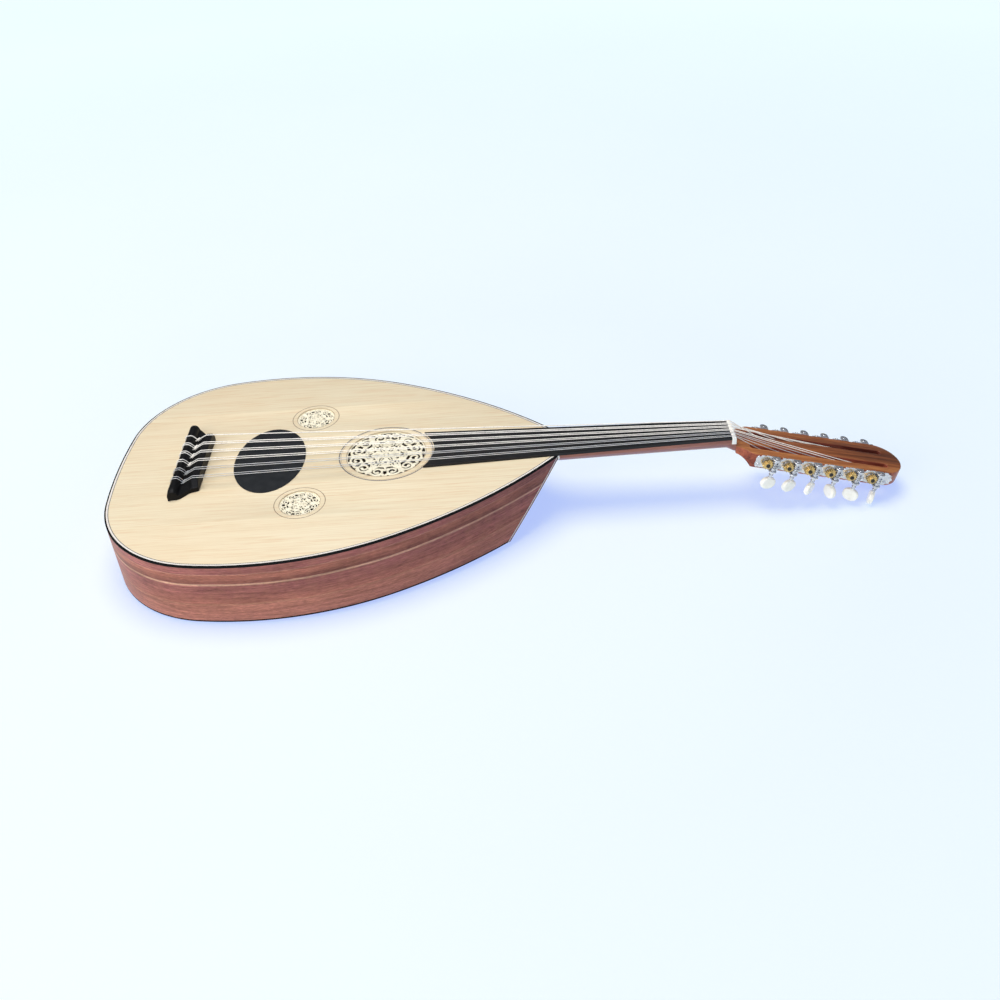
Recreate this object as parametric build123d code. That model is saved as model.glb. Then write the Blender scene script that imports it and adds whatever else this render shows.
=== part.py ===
from build123d import *
import math
import os

os.makedirs("parts", exist_ok=True)

# Flat-backed oud with a slotted, guitar-type headstock.
# Frame: X runs along the centreline from the tail to the headstock, Y points to
# the bass side, Z is up.  The origin lies on the outside of the flat back, on the
# centreline, straight below the line where the strings bend onto the bridge saddle.
# All lengths in millimetres, angles in degrees.  Boxes and prisms that only cut or
# clip another shape are oversized; their outer limits carry no meaning.

SIDES = (("bass", 1), ("treble", -1))      # name and sign of Y

# ---------------------------------------------------------------- driving sizes
SCALE = 585.0            # saddle line to nut, vibrating string length
TOP_Z = 73.6             # outside of the back to the top of the soundboard
TOP_T = 2.2              # soundboard thickness
BACK_T = 2.6
SIDE_T = 2.6
BIND_W = 1.8             # top binding
BIND_H = TOP_T
BACK_BIND_W = SIDE_T
BACK_BIND_H = 2.2        # height of the back binding on the side
INLAY_D = 0.9            # depth of the inlaid lines
PALE_W = 1.8             # pale inlaid band next to the top binding
GREY_W = 0.8             # thin grey line inside it
LINING_W, LINING_H = 9.0, 12.0
BRACE_GAP = 0.3          # between the brace ends and the linings

# outline as four tangent arcs per side, from the tail to the neck: radius and turn;
# the last arc runs on to the closing line
TAIL_X = -94.45
ARC_R = [653.94, 127.35, 355.67, 550.08]
ARC_TURN = [5.536, 75.077, 33.353]
OUTLINE_END_X = 394.5
LINING_END_X = 330.0

# sloping neck end of the body: plane parallel to Y through these two (x, z) points
BEVEL_LOW = (336.5, 0.0)
BEVEL_TOP = (398.0, TOP_Z)
JOINT_X = 394.0          # short upright end face that the neck joins
PANEL_T = 2.6            # thickness of the sloping end panel
EDGE_LINE_T = 0.9        # white edge line between the side and that panel
EDGE_LINE_W = 1.2
SPACER_T = 1.5           # white joint strip between the body and the neck
BLOCK_X = 318.0          # tail-side face of the neck block, where the linings stop

FB_T = 2.8               # fingerboard thickness
FB_REF_X = 253.0
FB_REF_HALF = 33.4       # fingerboard half-width at FB_REF_X
FB_SLOPE = 0.0461        # half-width lost per millimetre towards the nut
FB_END_R = 55.0          # hollow end of the fingerboard, round the main rosette
NECK_START_X = 360.0     # start of the neck blank, before trimming to the body
NECK_DEPTH = 17.5
NECK_FLANK = 3.0         # straight flank below the neck's top plane
NUT_T = 5.0
NUT_DROP = 5.5           # ledge for the nut below the neck's top plane
NUT_TOP = 3.4            # nut top above the neck's top plane
NUT_ROUND = 2.4
NECK_END_X = SCALE + NUT_T

# headstock, in its own frame: s along the face from the neck, y, n out of the face
HEAD_TILT = 13.9         # the face tilts back by this angle
HEAD_DROP = 8.4          # face below the neck's top plane where the two meet
HEAD_T = 17.5
HEAD_HALF = 28.0
HEAD_LEN = 198.0
HEAD_OVERLAP = 6.0       # run past the neck joint before trimming flush
SHOULDER_MID = (10.5, 3.3)   # s, and y beyond the neck's edge, midway on the flare
SHOULDER_END_S = 19.0
TIP_START_S = 174.0      # start of the rounded end
HEEL_SLOPE = 36.0        # slope of the cut under the headstock at the neck
SLOT_Y = 13.0
SLOT_W = 7.0
SLOT_START, SLOT_END = 17.0, 179.0

# tuning machines, in the headstock's frame
TUNER_START, TUNER_PITCH, TUNER_COUNT = 35.5, 24.3, 6
TUNER_N = -8.0
TUNER_S = [TUNER_START + TUNER_PITCH * k for k in range(TUNER_COUNT)]
GEAR_TEETH = 14
GEAR_PITCH_R, GEAR_TIP_R, GEAR_ROOT_R = 5.3, 5.85, 4.55
GEAR_TOOTH_HALF = 0.45   # half tooth thickness at the pitch radius
GEAR_Y0, GEAR_Y1 = 30.75, 34.95
HUB_R, HUB_SIDES, HUB_T = 3.5, 16, 1.3
BORE_HALF = 1.75         # square bore of the gear
WORM_PITCH_R, WORM_TIP_R, WORM_ROOT_R = 2.7, 3.25, 1.95
WORM_RIDGE = 0.75        # ridge thickness at the pitch radius
WORM_FOOT_R = 1.5        # foot of the ridge, sunk into the core
WORM_LEN = 8.6
WORM_Y = 32.9
CENTRES = GEAR_PITCH_R + WORM_PITCH_R
LEAD = 2 * math.pi * GEAR_PITCH_R / GEAR_TEETH   # single-start worm, one tooth per turn
FLANK = math.tan(math.radians(20))
PLATE_T = 1.2
PLATE_LEN, PLATE_W = 160.0, 17.0
PLATE_S, PLATE_N = 102.2, -8.1             # plate centre
LUG_HALF = 4.5
LUG_LEVELS = ((-1.1, 0.4), (-16.6, -15.1))  # n range of the lugs holding each shaft
POST_R, POST_CLEAR = 3.0, 0.1
SHAFT_R, SHAFT_CLEAR = 1.7, 0.1
SCREW_S = [26.4] + [s + 15.5 for s in TUNER_S[:-1]] + [174.4]
SCREW_N = TUNER_N - 4.0
# turn of each button about its shaft, from the nut to the tip
BUTTON_TURN = {"bass": [20, 75, -35, 50, 95, -15], "treble": [14, 26, 48, 107, 149, 70]}

# bridge: a tie block on the tail side and a saddle, joined by a low base
BRIDGE_X0, BRIDGE_X1 = -24.0, 6.5
BRIDGE_HALF_TAIL, BRIDGE_HALF_FRONT = 65.0, 50.0
BASE_H = 4.6
TIE_X1 = -13.0
TIE_H = 12.5
SADDLE_X0 = -1.0
SADDLE_H = 12.6
TIE_HOLE_Z = 6.2
TIE_HOLE_R = 0.95

# courses from the bass side: y at saddle, y at nut, diameter; the first is a single
# string, the others are pairs spread by half gaps at saddle and nut
COURSES = [(40.2, 15.8, 1.10), (24.0, 9.9, 1.0), (7.7, 3.9, 0.9),
           (-8.6, -2.1, 0.8), (-24.9, -8.2, 0.7), (-41.0, -14.4, 0.64)]
PAIR_SADDLE, PAIR_NUT = 1.8, 1.4
STRINGS = [(number, y_saddle + sign * PAIR_SADDLE, y_nut + sign * PAIR_NUT, diameter)
           for number, (y_saddle, y_nut, diameter) in enumerate(COURSES, 1)
           for sign in ((0,) if number == 1 else (1, -1))]
# roller each string winds on: tuner index from the nut, y in the slot
ROLLERS = [(0, 13.4), (1, 13.2), (2, 13.6), (3, 14.0), (4, 14.4),
           (5, -15.0), (4, -14.4), (3, -14.0), (2, -13.6), (1, -13.2), (0, -13.4)]
# gap between a string and what it passes over
SADDLE_GAP, NUT_GAP, TIE_GAP, ROLLER_GAP = 0.06, 0.08, 0.1, 0.12

# rosettes; piercing rows are: number of holes, ring radius, hole radius, start angle
ROSETTE_X = 205.2
SMALL_X, SMALL_Y = 118.5, 82.9
ROSETTE_LAP = 3.0         # the pierced disc is glued under the opening with this lap
ROSETTE_T = 1.8
MAIN_HOLES = [(1, 0, 3.0, 0), (8, 9.6, 2.7, 0), (8, 18.5, 4.2, 22.5),
              (16, 28.0, 3.8, 0), (24, 38.0, 3.4, 7.5)]
SMALL_HOLES = [(1, 0, 2.0, 0), (8, 7.4, 1.9, 0), (12, 15.6, 2.9, 15)]
# name, x, y, opening radius, inlaid ring centreline radius, ring width, piercing
ROSETTES = [("main", ROSETTE_X, 0, 44.0, 52.0, 3.0, MAIN_HOLES),
            ("bass", SMALL_X, SMALL_Y, 21.6, 27.0, 2.6, SMALL_HOLES),
            ("treble", SMALL_X, -SMALL_Y, 21.6, 27.0, 2.6, SMALL_HOLES)]

GUARD_X, GUARD_Y = 76.0, 0.5
GUARD_HALF_X, GUARD_HALF_Y, GUARD_T = 39.4, 61.7, 0.8


# ---------------------------------------------------------------- small helpers
def save(name, *solids):
    """Write one node; several solids make a group."""
    shape = solids[0] if len(solids) == 1 else Compound(children=list(solids))
    export_step(shape, "parts/%s.step" % name)


def one(shape):
    """The largest solid of a boolean result."""
    return max(shape.solids(), key=lambda solid: solid.volume)


def many(shape):
    """All solids of a boolean result, without slivers."""
    return [solid for solid in shape.solids() if solid.volume > 0.5]


def box(x0, x1, y0, y1, z0, z1):
    """Box between two limits on each axis; the y limits may come in either order."""
    centre = Pos((x0 + x1) / 2, (y0 + y1) / 2, (z0 + z1) / 2)
    return centre * Box(x1 - x0, abs(y1 - y0), z1 - z0)


def cyl(radius, start, end):
    start, end = Vector(*start), Vector(*end)
    axis = end - start
    return Plane(origin=start, z_dir=axis).location * Pos(0, 0, axis.length / 2) * Cylinder(
        radius, axis.length)


def cross_pin(radius, s, n, sign, y0, y1):
    """Cylinder parallel to Y on one side, from y0 to y1 off the centreline."""
    return cyl(radius, (s, sign * y0, n), (s, sign * y1, n))


def slotted_screw(s, n, sign, shank, head):
    """Screw parallel to Y; shank is radius, y0, y1; head is radius, height, y below it."""
    radius, height, y_under = head
    pan = Pos(0, 0, height / 2) * Cylinder(radius, height)
    pan -= Pos(0, 0, height - 0.2) * Box(2 * radius + 1, 0.6, 0.5)
    seat = Plane(origin=(s, sign * y_under, n), z_dir=(0, sign, 0))
    return one(cross_pin(shank[0], s, n, sign, shank[1], shank[2]) + seat.location * pan)


def polyhedron(faces):
    return Solid(Shell([Face(Wire.make_polygon([Vector(*p) for p in face], close=True))
                        for face in faces]))


def polar(centre, radius, angle):
    angle = math.radians(angle)
    return (centre[0] + radius * math.cos(angle), centre[1] + radius * math.sin(angle))


# ---------------------------------------------------------------- body outline
# arc centres and start angles, each arc tangent to the one before it
ARC_START = [180.0]
ARC_CENTRE = [(TAIL_X + ARC_R[0], 0.0)]
for before, after, turn in zip(ARC_R, ARC_R[1:], ARC_TURN):
    ARC_START.append(ARC_START[-1] - turn)
    ARC_CENTRE.append(polar(ARC_CENTRE[-1], before - after, ARC_START[-1]))


def outline(inset, x_end):
    """Face inside the body outline, offset inwards, closed by a line at x_end."""
    edges = []
    ends = []
    for sign in (1, -1):
        for i, centre in enumerate(ARC_CENTRE):
            radius = ARC_R[i] - inset
            start = ARC_START[i]
            if i < 3:
                end = ARC_START[i + 1]
            else:
                end = math.degrees(math.acos((x_end - centre[0]) / radius))
            points = [polar(centre, radius, angle) for angle in (start, (start + end) / 2, end)]
            points = [(x, sign * y) for x, y in points]
            edges.append(ThreePointArc(*points))
        ends.append(points[2])
    edges.append(Line(*ends))
    return make_face(edges)


def prism(inset, z0, z1, x_end=OUTLINE_END_X):
    return Pos(0, 0, z0) * extrude(outline(inset, x_end), z1 - z0)


def band(outer, inner, z0, z1, x_end=OUTLINE_END_X):
    """Rim between two insets from the outline."""
    return prism(outer, z0, z1, x_end) - prism(inner, z0 - 1, z1 + 1, x_end)


# plane of the sloping neck end; local z points out of the body towards the neck
bevel_dx, bevel_dz = BEVEL_TOP[0] - BEVEL_LOW[0], BEVEL_TOP[1] - BEVEL_LOW[1]
bevel_len = math.hypot(bevel_dx, bevel_dz)
BEVEL = Plane(origin=(BEVEL_LOW[0], 0, BEVEL_LOW[1]),
              x_dir=(bevel_dx / bevel_len, 0, bevel_dz / bevel_len),
              z_dir=(bevel_dz / bevel_len, 0, -bevel_dx / bevel_len))


def slab(start, end):
    """Wide slab along the sloping plane between two offsets (outwards positive)."""
    return BEVEL.location * (Pos(0, 0, (start + end) / 2) * Box(1600, 900, end - start))


def trim_to_panel(shape):
    """Keep what lies on the body side of the sloping panel and of the joint face."""
    return shape & (slab(-PANEL_T - 900, -PANEL_T) & box(-1000, JOINT_X, -400, 400, -200, 300))


# ---------------------------------------------------------------- body box
side_ring = trim_to_panel(band(0, SIDE_T, BACK_BIND_H, TOP_Z - BIND_H))
for side, sign in SIDES:
    save("side_" + side, one(side_ring & box(-200, 500, 0, sign * 300, -5, 100)))


def inlaid_ring(x, y, radius, width):
    return Pos(x, y, TOP_Z - INLAY_D / 2) * (Cylinder(radius + width / 2, INLAY_D)
                                             - Cylinder(radius - width / 2, INLAY_D))


# soundboard with the three rosette openings and the inlaid channels
pale_inset = BIND_W + PALE_W
grey_inset = pale_inset + GREY_W
inlay_z = TOP_Z - INLAY_D
soundboard = trim_to_panel(prism(BIND_W, TOP_Z - TOP_T, TOP_Z))
soundboard -= band(BIND_W, grey_inset, inlay_z, TOP_Z)
rings = []
for _, x, y, hole_r, ring_r, ring_w, _ in ROSETTES:
    soundboard -= Pos(x, y, TOP_Z) * Cylinder(hole_r, 10)
    ring = inlaid_ring(x, y, ring_r, ring_w)
    soundboard -= ring
    rings.append(one(ring))
save("soundboard", one(soundboard))
save("rosette_rings", *rings)

# inlaid edge lines of the soundboard
pale = trim_to_panel(band(BIND_W, pale_inset, inlay_z, TOP_Z))
grey = trim_to_panel(band(pale_inset, grey_inset, inlay_z, TOP_Z))
save("edge_purfling", *many(pale), *many(grey))

save("top_binding", *many(trim_to_panel(band(0, BIND_W, TOP_Z - BIND_H, TOP_Z))))
save("back_binding", *many(trim_to_panel(band(0, BACK_BIND_W, 0, BACK_BIND_H))))
save("back_plate", one(trim_to_panel(prism(BACK_BIND_W, 0, BACK_T))))

# sloping end panel, rebated for its white edge lines
panel_full = prism(0, 0, TOP_Z) & slab(-PANEL_T, 0) & box(200, JOINT_X, -200, 200, -1, 100)
heel_lines = panel_full & slab(-PANEL_T, -PANEL_T + EDGE_LINE_T)
heel_lines -= prism(EDGE_LINE_W, -1, TOP_Z + 1)
save("heel_panel", one(panel_full - heel_lines))

# ---------------------------------------------------------------- inside the body
UNDER_TOP = TOP_Z - TOP_T
tail_room = box(-120, -72, -32, 32, 0, 100)
save("tail_block", one(prism(SIDE_T, BACK_T, UNDER_TOP) & tail_room))
neck_block = trim_to_panel(prism(SIDE_T, BACK_T, UNDER_TOP))
save("neck_block", one(neck_block & box(BLOCK_X, 400, -90, 90, 0, 100)))


def lining(z0, z1):
    """Strips along the sides, stopping at the two blocks."""
    ring = band(SIDE_T, SIDE_T + LINING_W, z0, z1, LINING_END_X)
    ring -= tail_room
    return many(ring & box(-200, BLOCK_X, -300, 300, 0, 100))


save("soundboard_linings", *lining(UNDER_TOP - LINING_H, UNDER_TOP))
save("back_linings", *lining(BACK_T, BACK_T + LINING_H))

brace_room = prism(SIDE_T + LINING_W + BRACE_GAP, 0, 100, LINING_END_X)


def brace(x, width, z0, z1):
    return one(box(x - width / 2, x + width / 2, -190, 190, z0, z1) & brace_room)


# braces: x, width, height
TOP_BRACES = [(-58, 6, 12), (30, 6, 14), (84, 5.5, 14), (149.8, 5, 15), (266, 6, 14), (303, 6, 12)]
BACK_BRACES = [(-20, 8, 11), (75, 8, 12), (170, 8, 12), (262, 7, 11)]
save("soundboard_braces", *[brace(x, width, UNDER_TOP - height, UNDER_TOP)
                            for x, width, height in TOP_BRACES])
save("back_braces", *[brace(x, width, BACK_T, BACK_T + height)
                      for x, width, height in BACK_BRACES])


# ---------------------------------------------------------------- rosettes
def pierced(radius, hole_rings):
    """Thin disc pierced by rings of round openings."""
    disc = Cylinder(radius, ROSETTE_T)
    for count, ring_r, hole_r, start in hole_rings:
        for k in range(count):
            x, y = polar((0, 0), ring_r, start + 360.0 * k / count)
            disc -= Pos(x, y, 0) * Cylinder(hole_r, ROSETTE_T + 2)
    return one(disc)


for name, x, y, hole_r, _, _, piercing in ROSETTES:
    disc = pierced(hole_r + ROSETTE_LAP, piercing)
    save("rosette_" + name, Pos(x, y, UNDER_TOP - ROSETTE_T / 2) * disc)


# ---------------------------------------------------------------- neck and fingerboard
def fb_half(x):
    """Half-width of fingerboard and neck at x."""
    return FB_REF_HALF - FB_SLOPE * (x - FB_REF_X)


def neck_section(x):
    """Neck section: flat top, short straight flanks, round underside."""
    half = fb_half(x)
    edges = [Line((-half, 0), (half, 0)),
             Line((half, 0), (half, -NECK_FLANK)),
             ThreePointArc((half, -NECK_FLANK), (0, -NECK_DEPTH), (-half, -NECK_FLANK)),
             Line((-half, -NECK_FLANK), (-half, 0))]
    return Pos(x, 0, TOP_Z) * Plane.YZ.location * make_face(edges)


neck_blank = loft([neck_section(NECK_START_X), neck_section(NECK_END_X)], ruled=True)
joint_strip = neck_blank & box(JOINT_X, JOINT_X + SPACER_T, -60, 60, 0, 100)
save("heel_trim", *many(heel_lines), one(joint_strip))

neck = neck_blank & box(JOINT_X + SPACER_T, 700, -60, 60, 0, 100)
neck -= box(SCALE, NECK_END_X + 1, -40, 40, TOP_Z - NUT_DROP, TOP_Z + 5)
# small heel wedge between the sloping panel and the joint strip
heel_wedge = neck_blank & slab(0, 700) & box(300, JOINT_X, -60, 60, 0, 100)
save("neck", one(neck), one(heel_wedge))

nut_half = fb_half(SCALE)
fb_x0 = ROSETTE_X + math.sqrt(FB_END_R ** 2 - FB_REF_HALF ** 2)
fingerboard = make_face([
    ThreePointArc((fb_x0, FB_REF_HALF), (ROSETTE_X + FB_END_R, 0), (fb_x0, -FB_REF_HALF)),
    Line((fb_x0, -FB_REF_HALF), (SCALE, -nut_half)),
    Line((SCALE, -nut_half), (SCALE, nut_half)),
    Line((SCALE, nut_half), (fb_x0, FB_REF_HALF))])
save("fingerboard", one(Pos(0, 0, TOP_Z) * extrude(fingerboard, FB_T)))

# nut, rounded along its top edge on the headstock side
nut = one(box(SCALE, NECK_END_X, -nut_half, nut_half, TOP_Z - NUT_DROP, TOP_Z + NUT_TOP))
nut_edge = nut.edges().filter_by(Axis.Y).group_by(Axis.Z)[-1].sort_by(Axis.X)[-1:]
save("nut", one(fillet(nut_edge, NUT_ROUND)))

# ---------------------------------------------------------------- pickguard
guard = extrude(make_face([Ellipse(GUARD_HALF_X, GUARD_HALF_Y).edge()]), GUARD_T)
save("pickguard", one(Pos(GUARD_X, GUARD_Y, TOP_Z) * guard))

# ---------------------------------------------------------------- bridge
# side profile: x, height above the soundboard
BRIDGE_PROFILE = [
    (BRIDGE_X0, 0), (BRIDGE_X1, 0),
    (BRIDGE_X1, SADDLE_H - 0.8), (BRIDGE_X1 - 1.0, SADDLE_H),
    (SADDLE_X0 + 1.5, SADDLE_H), (SADDLE_X0, SADDLE_H - 1.5),
    (SADDLE_X0, BASE_H + 1.2), (SADDLE_X0 - 1.2, BASE_H),
    (TIE_X1 + 1.2, BASE_H), (TIE_X1, BASE_H + 1.2),
    (TIE_X1 - 1.6, TIE_H - 2.6), (TIE_X1 - 4.0, TIE_H),
    (BRIDGE_X0 + 3.0, TIE_H), (BRIDGE_X0, TIE_H - 3.4)]
# bass half of the plan: x, y
BRIDGE_PLAN = [
    (BRIDGE_X0, BRIDGE_HALF_TAIL), (TIE_X1 + 1, BRIDGE_HALF_TAIL - 1.2),
    (SADDLE_X0 - 2, BRIDGE_HALF_FRONT + 3), (BRIDGE_X1, BRIDGE_HALF_FRONT)]

profile = make_face(Polyline(*BRIDGE_PROFILE, close=True))
bridge = extrude(Pos(0, 0, TOP_Z) * Plane.XZ.location * profile, 80, both=True)
plan = BRIDGE_PLAN + [(x, -y) for x, y in reversed(BRIDGE_PLAN)]
plan_face = make_face(Polyline(*plan, close=True))
bridge = bridge & (Pos(0, 0, TOP_Z - 1) * extrude(plan_face, 30))
hole_z = TOP_Z + TIE_HOLE_Z
for _, y, _, _ in STRINGS:
    bridge -= cyl(TIE_HOLE_R, (BRIDGE_X0 - 1, y, hole_z), (TIE_X1 + 2, y, hole_z))
save("bridge", one(bridge))

# ---------------------------------------------------------------- headstock
tilt = math.radians(HEAD_TILT)
HEAD = Plane(origin=(NECK_END_X, 0, TOP_Z - HEAD_DROP),
             x_dir=(math.cos(tilt), 0, -math.sin(tilt)),
             z_dir=(math.sin(tilt), 0, math.cos(tilt)))


def to_head(shape):
    """Place a shape made in the headstock's frame."""
    return HEAD.location * shape


def headstock():
    neck_half = fb_half(NECK_END_X)
    mid_s, mid_y = SHOULDER_MID[0], neck_half + SHOULDER_MID[1]
    edges = [
        Line((-HEAD_OVERLAP, neck_half), (0, neck_half)),
        ThreePointArc((0, neck_half), (mid_s, mid_y), (SHOULDER_END_S, HEAD_HALF)),
        Line((SHOULDER_END_S, HEAD_HALF), (TIP_START_S, HEAD_HALF)),
        ThreePointArc((TIP_START_S, HEAD_HALF), (HEAD_LEN, 0), (TIP_START_S, -HEAD_HALF)),
        Line((TIP_START_S, -HEAD_HALF), (SHOULDER_END_S, -HEAD_HALF)),
        ThreePointArc((SHOULDER_END_S, -HEAD_HALF), (mid_s, -mid_y), (0, -neck_half)),
        Line((0, -neck_half), (-HEAD_OVERLAP, -neck_half)),
        Line((-HEAD_OVERLAP, -neck_half), (-HEAD_OVERLAP, neck_half))]
    head = Pos(0, 0, -HEAD_T) * extrude(make_face(edges), HEAD_T)
    for _, sign in SIDES:
        slot = extrude(SlotOverall(SLOT_END - SLOT_START, SLOT_W), HEAD_T, both=True)
        head -= Pos((SLOT_START + SLOT_END) / 2, sign * SLOT_Y, -HEAD_T / 2) * slot
    for s in TUNER_S:
        for _, sign in SIDES:
            head -= cross_pin(POST_R + POST_CLEAR, s, TUNER_N, sign, 5.0, 30)
    for s in SCREW_S:
        for _, sign in SIDES:
            head -= cross_pin(1.2, s, SCREW_N, sign, 18.9, 30)
    # flush joint face against the neck, and the slope under it
    head = to_head(head) & box(NECK_END_X, 900, -60, 60, -60, 120)
    slope = math.radians(HEEL_SLOPE)
    wedge = Plane(origin=(NECK_END_X, 0, TOP_Z - NECK_DEPTH), x_dir=(0, 1, 0),
                  z_dir=(-math.sin(slope), 0, -math.cos(slope)))
    head -= wedge.location * (Pos(0, 0, 20) * Box(120, 60, 40))
    return one(head)


save("headstock", headstock())


# ---------------------------------------------------------------- tuning machines
def tuner_plate(sign):
    """Side plate with two lugs for each worm shaft."""
    mid_y = HEAD_HALF + PLATE_T / 2
    blank = extrude(SlotOverall(PLATE_LEN, PLATE_W), PLATE_T / 2, both=True)
    plate = Pos(PLATE_S, sign * mid_y, PLATE_N) * Rot(90, 0, 0) * blank
    for post_s in TUNER_S:
        s = post_s + CENTRES
        for n0, n1 in LUG_LEVELS:
            lug = box(s - LUG_HALF, s + LUG_HALF, sign * mid_y, sign * WORM_Y, n0, n1)
            lug += Pos(s, sign * WORM_Y, (n0 + n1) / 2) * Cylinder(LUG_HALF, n1 - n0)
            plate += lug
        plate -= Pos(s, sign * WORM_Y, TUNER_N) * Cylinder(SHAFT_R + SHAFT_CLEAR, 30)
        plate -= cross_pin(POST_R + POST_CLEAR, post_s, TUNER_N, sign, 27, 31)
    for s in SCREW_S:
        plate -= cross_pin(1.3, s, SCREW_N, sign, 27, 31)
    return one(plate)


for side, sign in SIDES:
    save("tuner_plate_" + side, to_head(tuner_plate(sign)))

plate_face = HEAD_HALF + PLATE_T
save("plate_screws", *[
    to_head(slotted_screw(s, SCREW_N, sign, shank=(1.15, 19.2, plate_face + 0.2),
                          head=(1.9, 0.9, plate_face)))
    for s in SCREW_S for _, sign in SIDES])


def worm_thread():
    """Helical ridge of flat facets, right-handed about +Z, centred on z = 0, with one
    ridge turn on each side of the gear tooth that points at the worm."""
    tip_half = (WORM_RIDGE - 2 * (WORM_TIP_R - WORM_PITCH_R) * FLANK) / 2
    foot_half = (WORM_RIDGE + 2 * (WORM_PITCH_R - WORM_FOOT_R) * FLANK) / 2
    steps = 12                   # facets per turn
    reach = int(1.5 * steps)     # one and a half turns each way
    sections = []
    for i in range(-reach, reach + 1):
        angle = 2 * math.pi * i / steps
        z = LEAD * i / steps
        corners = [(WORM_FOOT_R, -foot_half), (WORM_TIP_R, -tip_half),
                   (WORM_TIP_R, tip_half), (WORM_FOOT_R, foot_half)]
        sections.append([(r * math.cos(angle), r * math.sin(angle), z + dz)
                         for r, dz in corners])
    faces = [sections[0], sections[-1]]
    for here, beyond in zip(sections, sections[1:]):
        for j in range(4):
            k = (j + 1) % 4
            faces.append([here[j], beyond[j], beyond[k]])
            faces.append([here[j], beyond[k], here[k]])
    return polyhedron(faces)


# steps of the worm shaft: radius, lower n, upper n
SHAFT_STEPS = [(SHAFT_R, -3.9, 0.9), (2.35, -3.9, -1.2), (2.35, -15.0, -12.1),
               (SHAFT_R, -17.0, -12.1), (2.9, -18.3, -16.75), (1.9, -24.0, -18.3),
               (2.5, -21.2, -20.0), (1.5, -32.5, -24.0)]


def worm_shaft():
    """Steel shaft with its worm; the gear axis is at local z = 0."""
    shaft = Cylinder(WORM_ROOT_R, WORM_LEN) + worm_thread()
    for radius, n0, n1 in SHAFT_STEPS:
        shaft += Pos(0, 0, (n0 + n1) / 2 - TUNER_N) * Cylinder(radius, n1 - n0)
    return one(shaft)


BUTTON_N = -31.6
BUTTON_HALF_X, BUTTON_HALF_Z = 8.9, 7.4
BUTTON_HALF_T = 3.4
BUTTON_ROUND = 2.2


def button():
    """Oval finger button, broad across local x, on the shaft's lower end."""
    x, z = BUTTON_HALF_X, BUTTON_HALF_Z
    mid_x, mid_z = x * 0.72, z * 0.76
    oval = make_face([ThreePointArc((-x, 0), (-mid_x, mid_z), (0, z)),
                      ThreePointArc((0, z), (mid_x, mid_z), (x, 0)),
                      ThreePointArc((x, 0), (mid_x, -mid_z), (0, -z)),
                      ThreePointArc((0, -z), (-mid_x, -mid_z), (-x, 0))])
    oval = Pos(0, 0, BUTTON_N - TUNER_N) * Plane.XZ.location * oval
    body = extrude(oval, BUTTON_HALF_T, both=True)
    rims = body.edges().filter_by(
        lambda edge: abs(abs(edge.center().Y) - BUTTON_HALF_T) < 1e-3)
    body = fillet(rims, BUTTON_ROUND)
    # collar, shaft bore, and a flat cut above the collar
    body += Pos(0, 0, -24.6 - TUNER_N) * Cylinder(2.6, 1.8)
    body -= Pos(0, 0, -28 - TUNER_N) * Cylinder(1.53, 9.1)
    body -= Pos(0, 0, -22.2 - TUNER_N) * Cylinder(4, 3)
    return one(body)


def gear(sign):
    """Gear with flat-sided teeth and a hub, on the Y axis, square bore."""
    points = []
    for k in range(GEAR_TEETH):
        for radius, flank in ((GEAR_ROOT_R, -1), (GEAR_TIP_R, -1),
                              (GEAR_TIP_R, 1), (GEAR_ROOT_R, 1)):
            half_angle = (GEAR_TOOTH_HALF - (radius - GEAR_PITCH_R) * FLANK) / radius
            angle = 2 * math.pi * k / GEAR_TEETH + flank * half_angle
            points.append((radius * math.cos(angle), radius * math.sin(angle)))
    teeth = make_face(Polyline(*points, close=True))
    wheel = Pos(0, GEAR_Y1, 0) * extrude(Plane.XZ.location * teeth, GEAR_Y1 - GEAR_Y0)
    hub = extrude(Plane.XZ.location * RegularPolygon(HUB_R, HUB_SIDES), HUB_T)
    wheel += Pos(0, GEAR_Y1 + HUB_T, 0) * hub
    wheel -= box(-BORE_HALF, BORE_HALF, 20, 50, -BORE_HALF, BORE_HALF)
    wheel = one(wheel)
    return wheel if sign > 0 else wheel.mirror(Plane.XZ)


def post(sign):
    """Roller with a collar, a square end for the gear and a screw hole."""
    roller = cross_pin(POST_R, 0, 0, sign, 5.3, 30.0)
    roller += cross_pin(4.1, 0, 0, sign, 29.3, GEAR_Y0)
    roller += box(-1.7, 1.7, sign * GEAR_Y0, sign * 36.2, -1.7, 1.7)
    roller -= cross_pin(1.0, 0, 0, sign, 27, 40)
    return one(roller)


shaft_part, button_part = worm_shaft(), button()
for side, sign in SIDES:
    gear_screw = slotted_screw(0, 0, sign, shank=(0.95, 27.2, 36.4), head=(2.5, 1.2, 36.26))
    roller_parts = (post(sign), gear(sign), gear_screw)
    for k, s in enumerate(TUNER_S):
        post_at = Location((s, 0, TUNER_N))
        save("roller_%s_%d" % (side, k + 1), *[to_head(post_at * part) for part in roller_parts])
        worm_at = Location((s + CENTRES, sign * WORM_Y, TUNER_N))
        turn = Location((0, 0, 0), (0, 0, BUTTON_TURN[side][k]))
        save("key_%s_%d" % (side, k + 1), to_head(worm_at * shaft_part),
             to_head(worm_at * turn * button_part))


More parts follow.
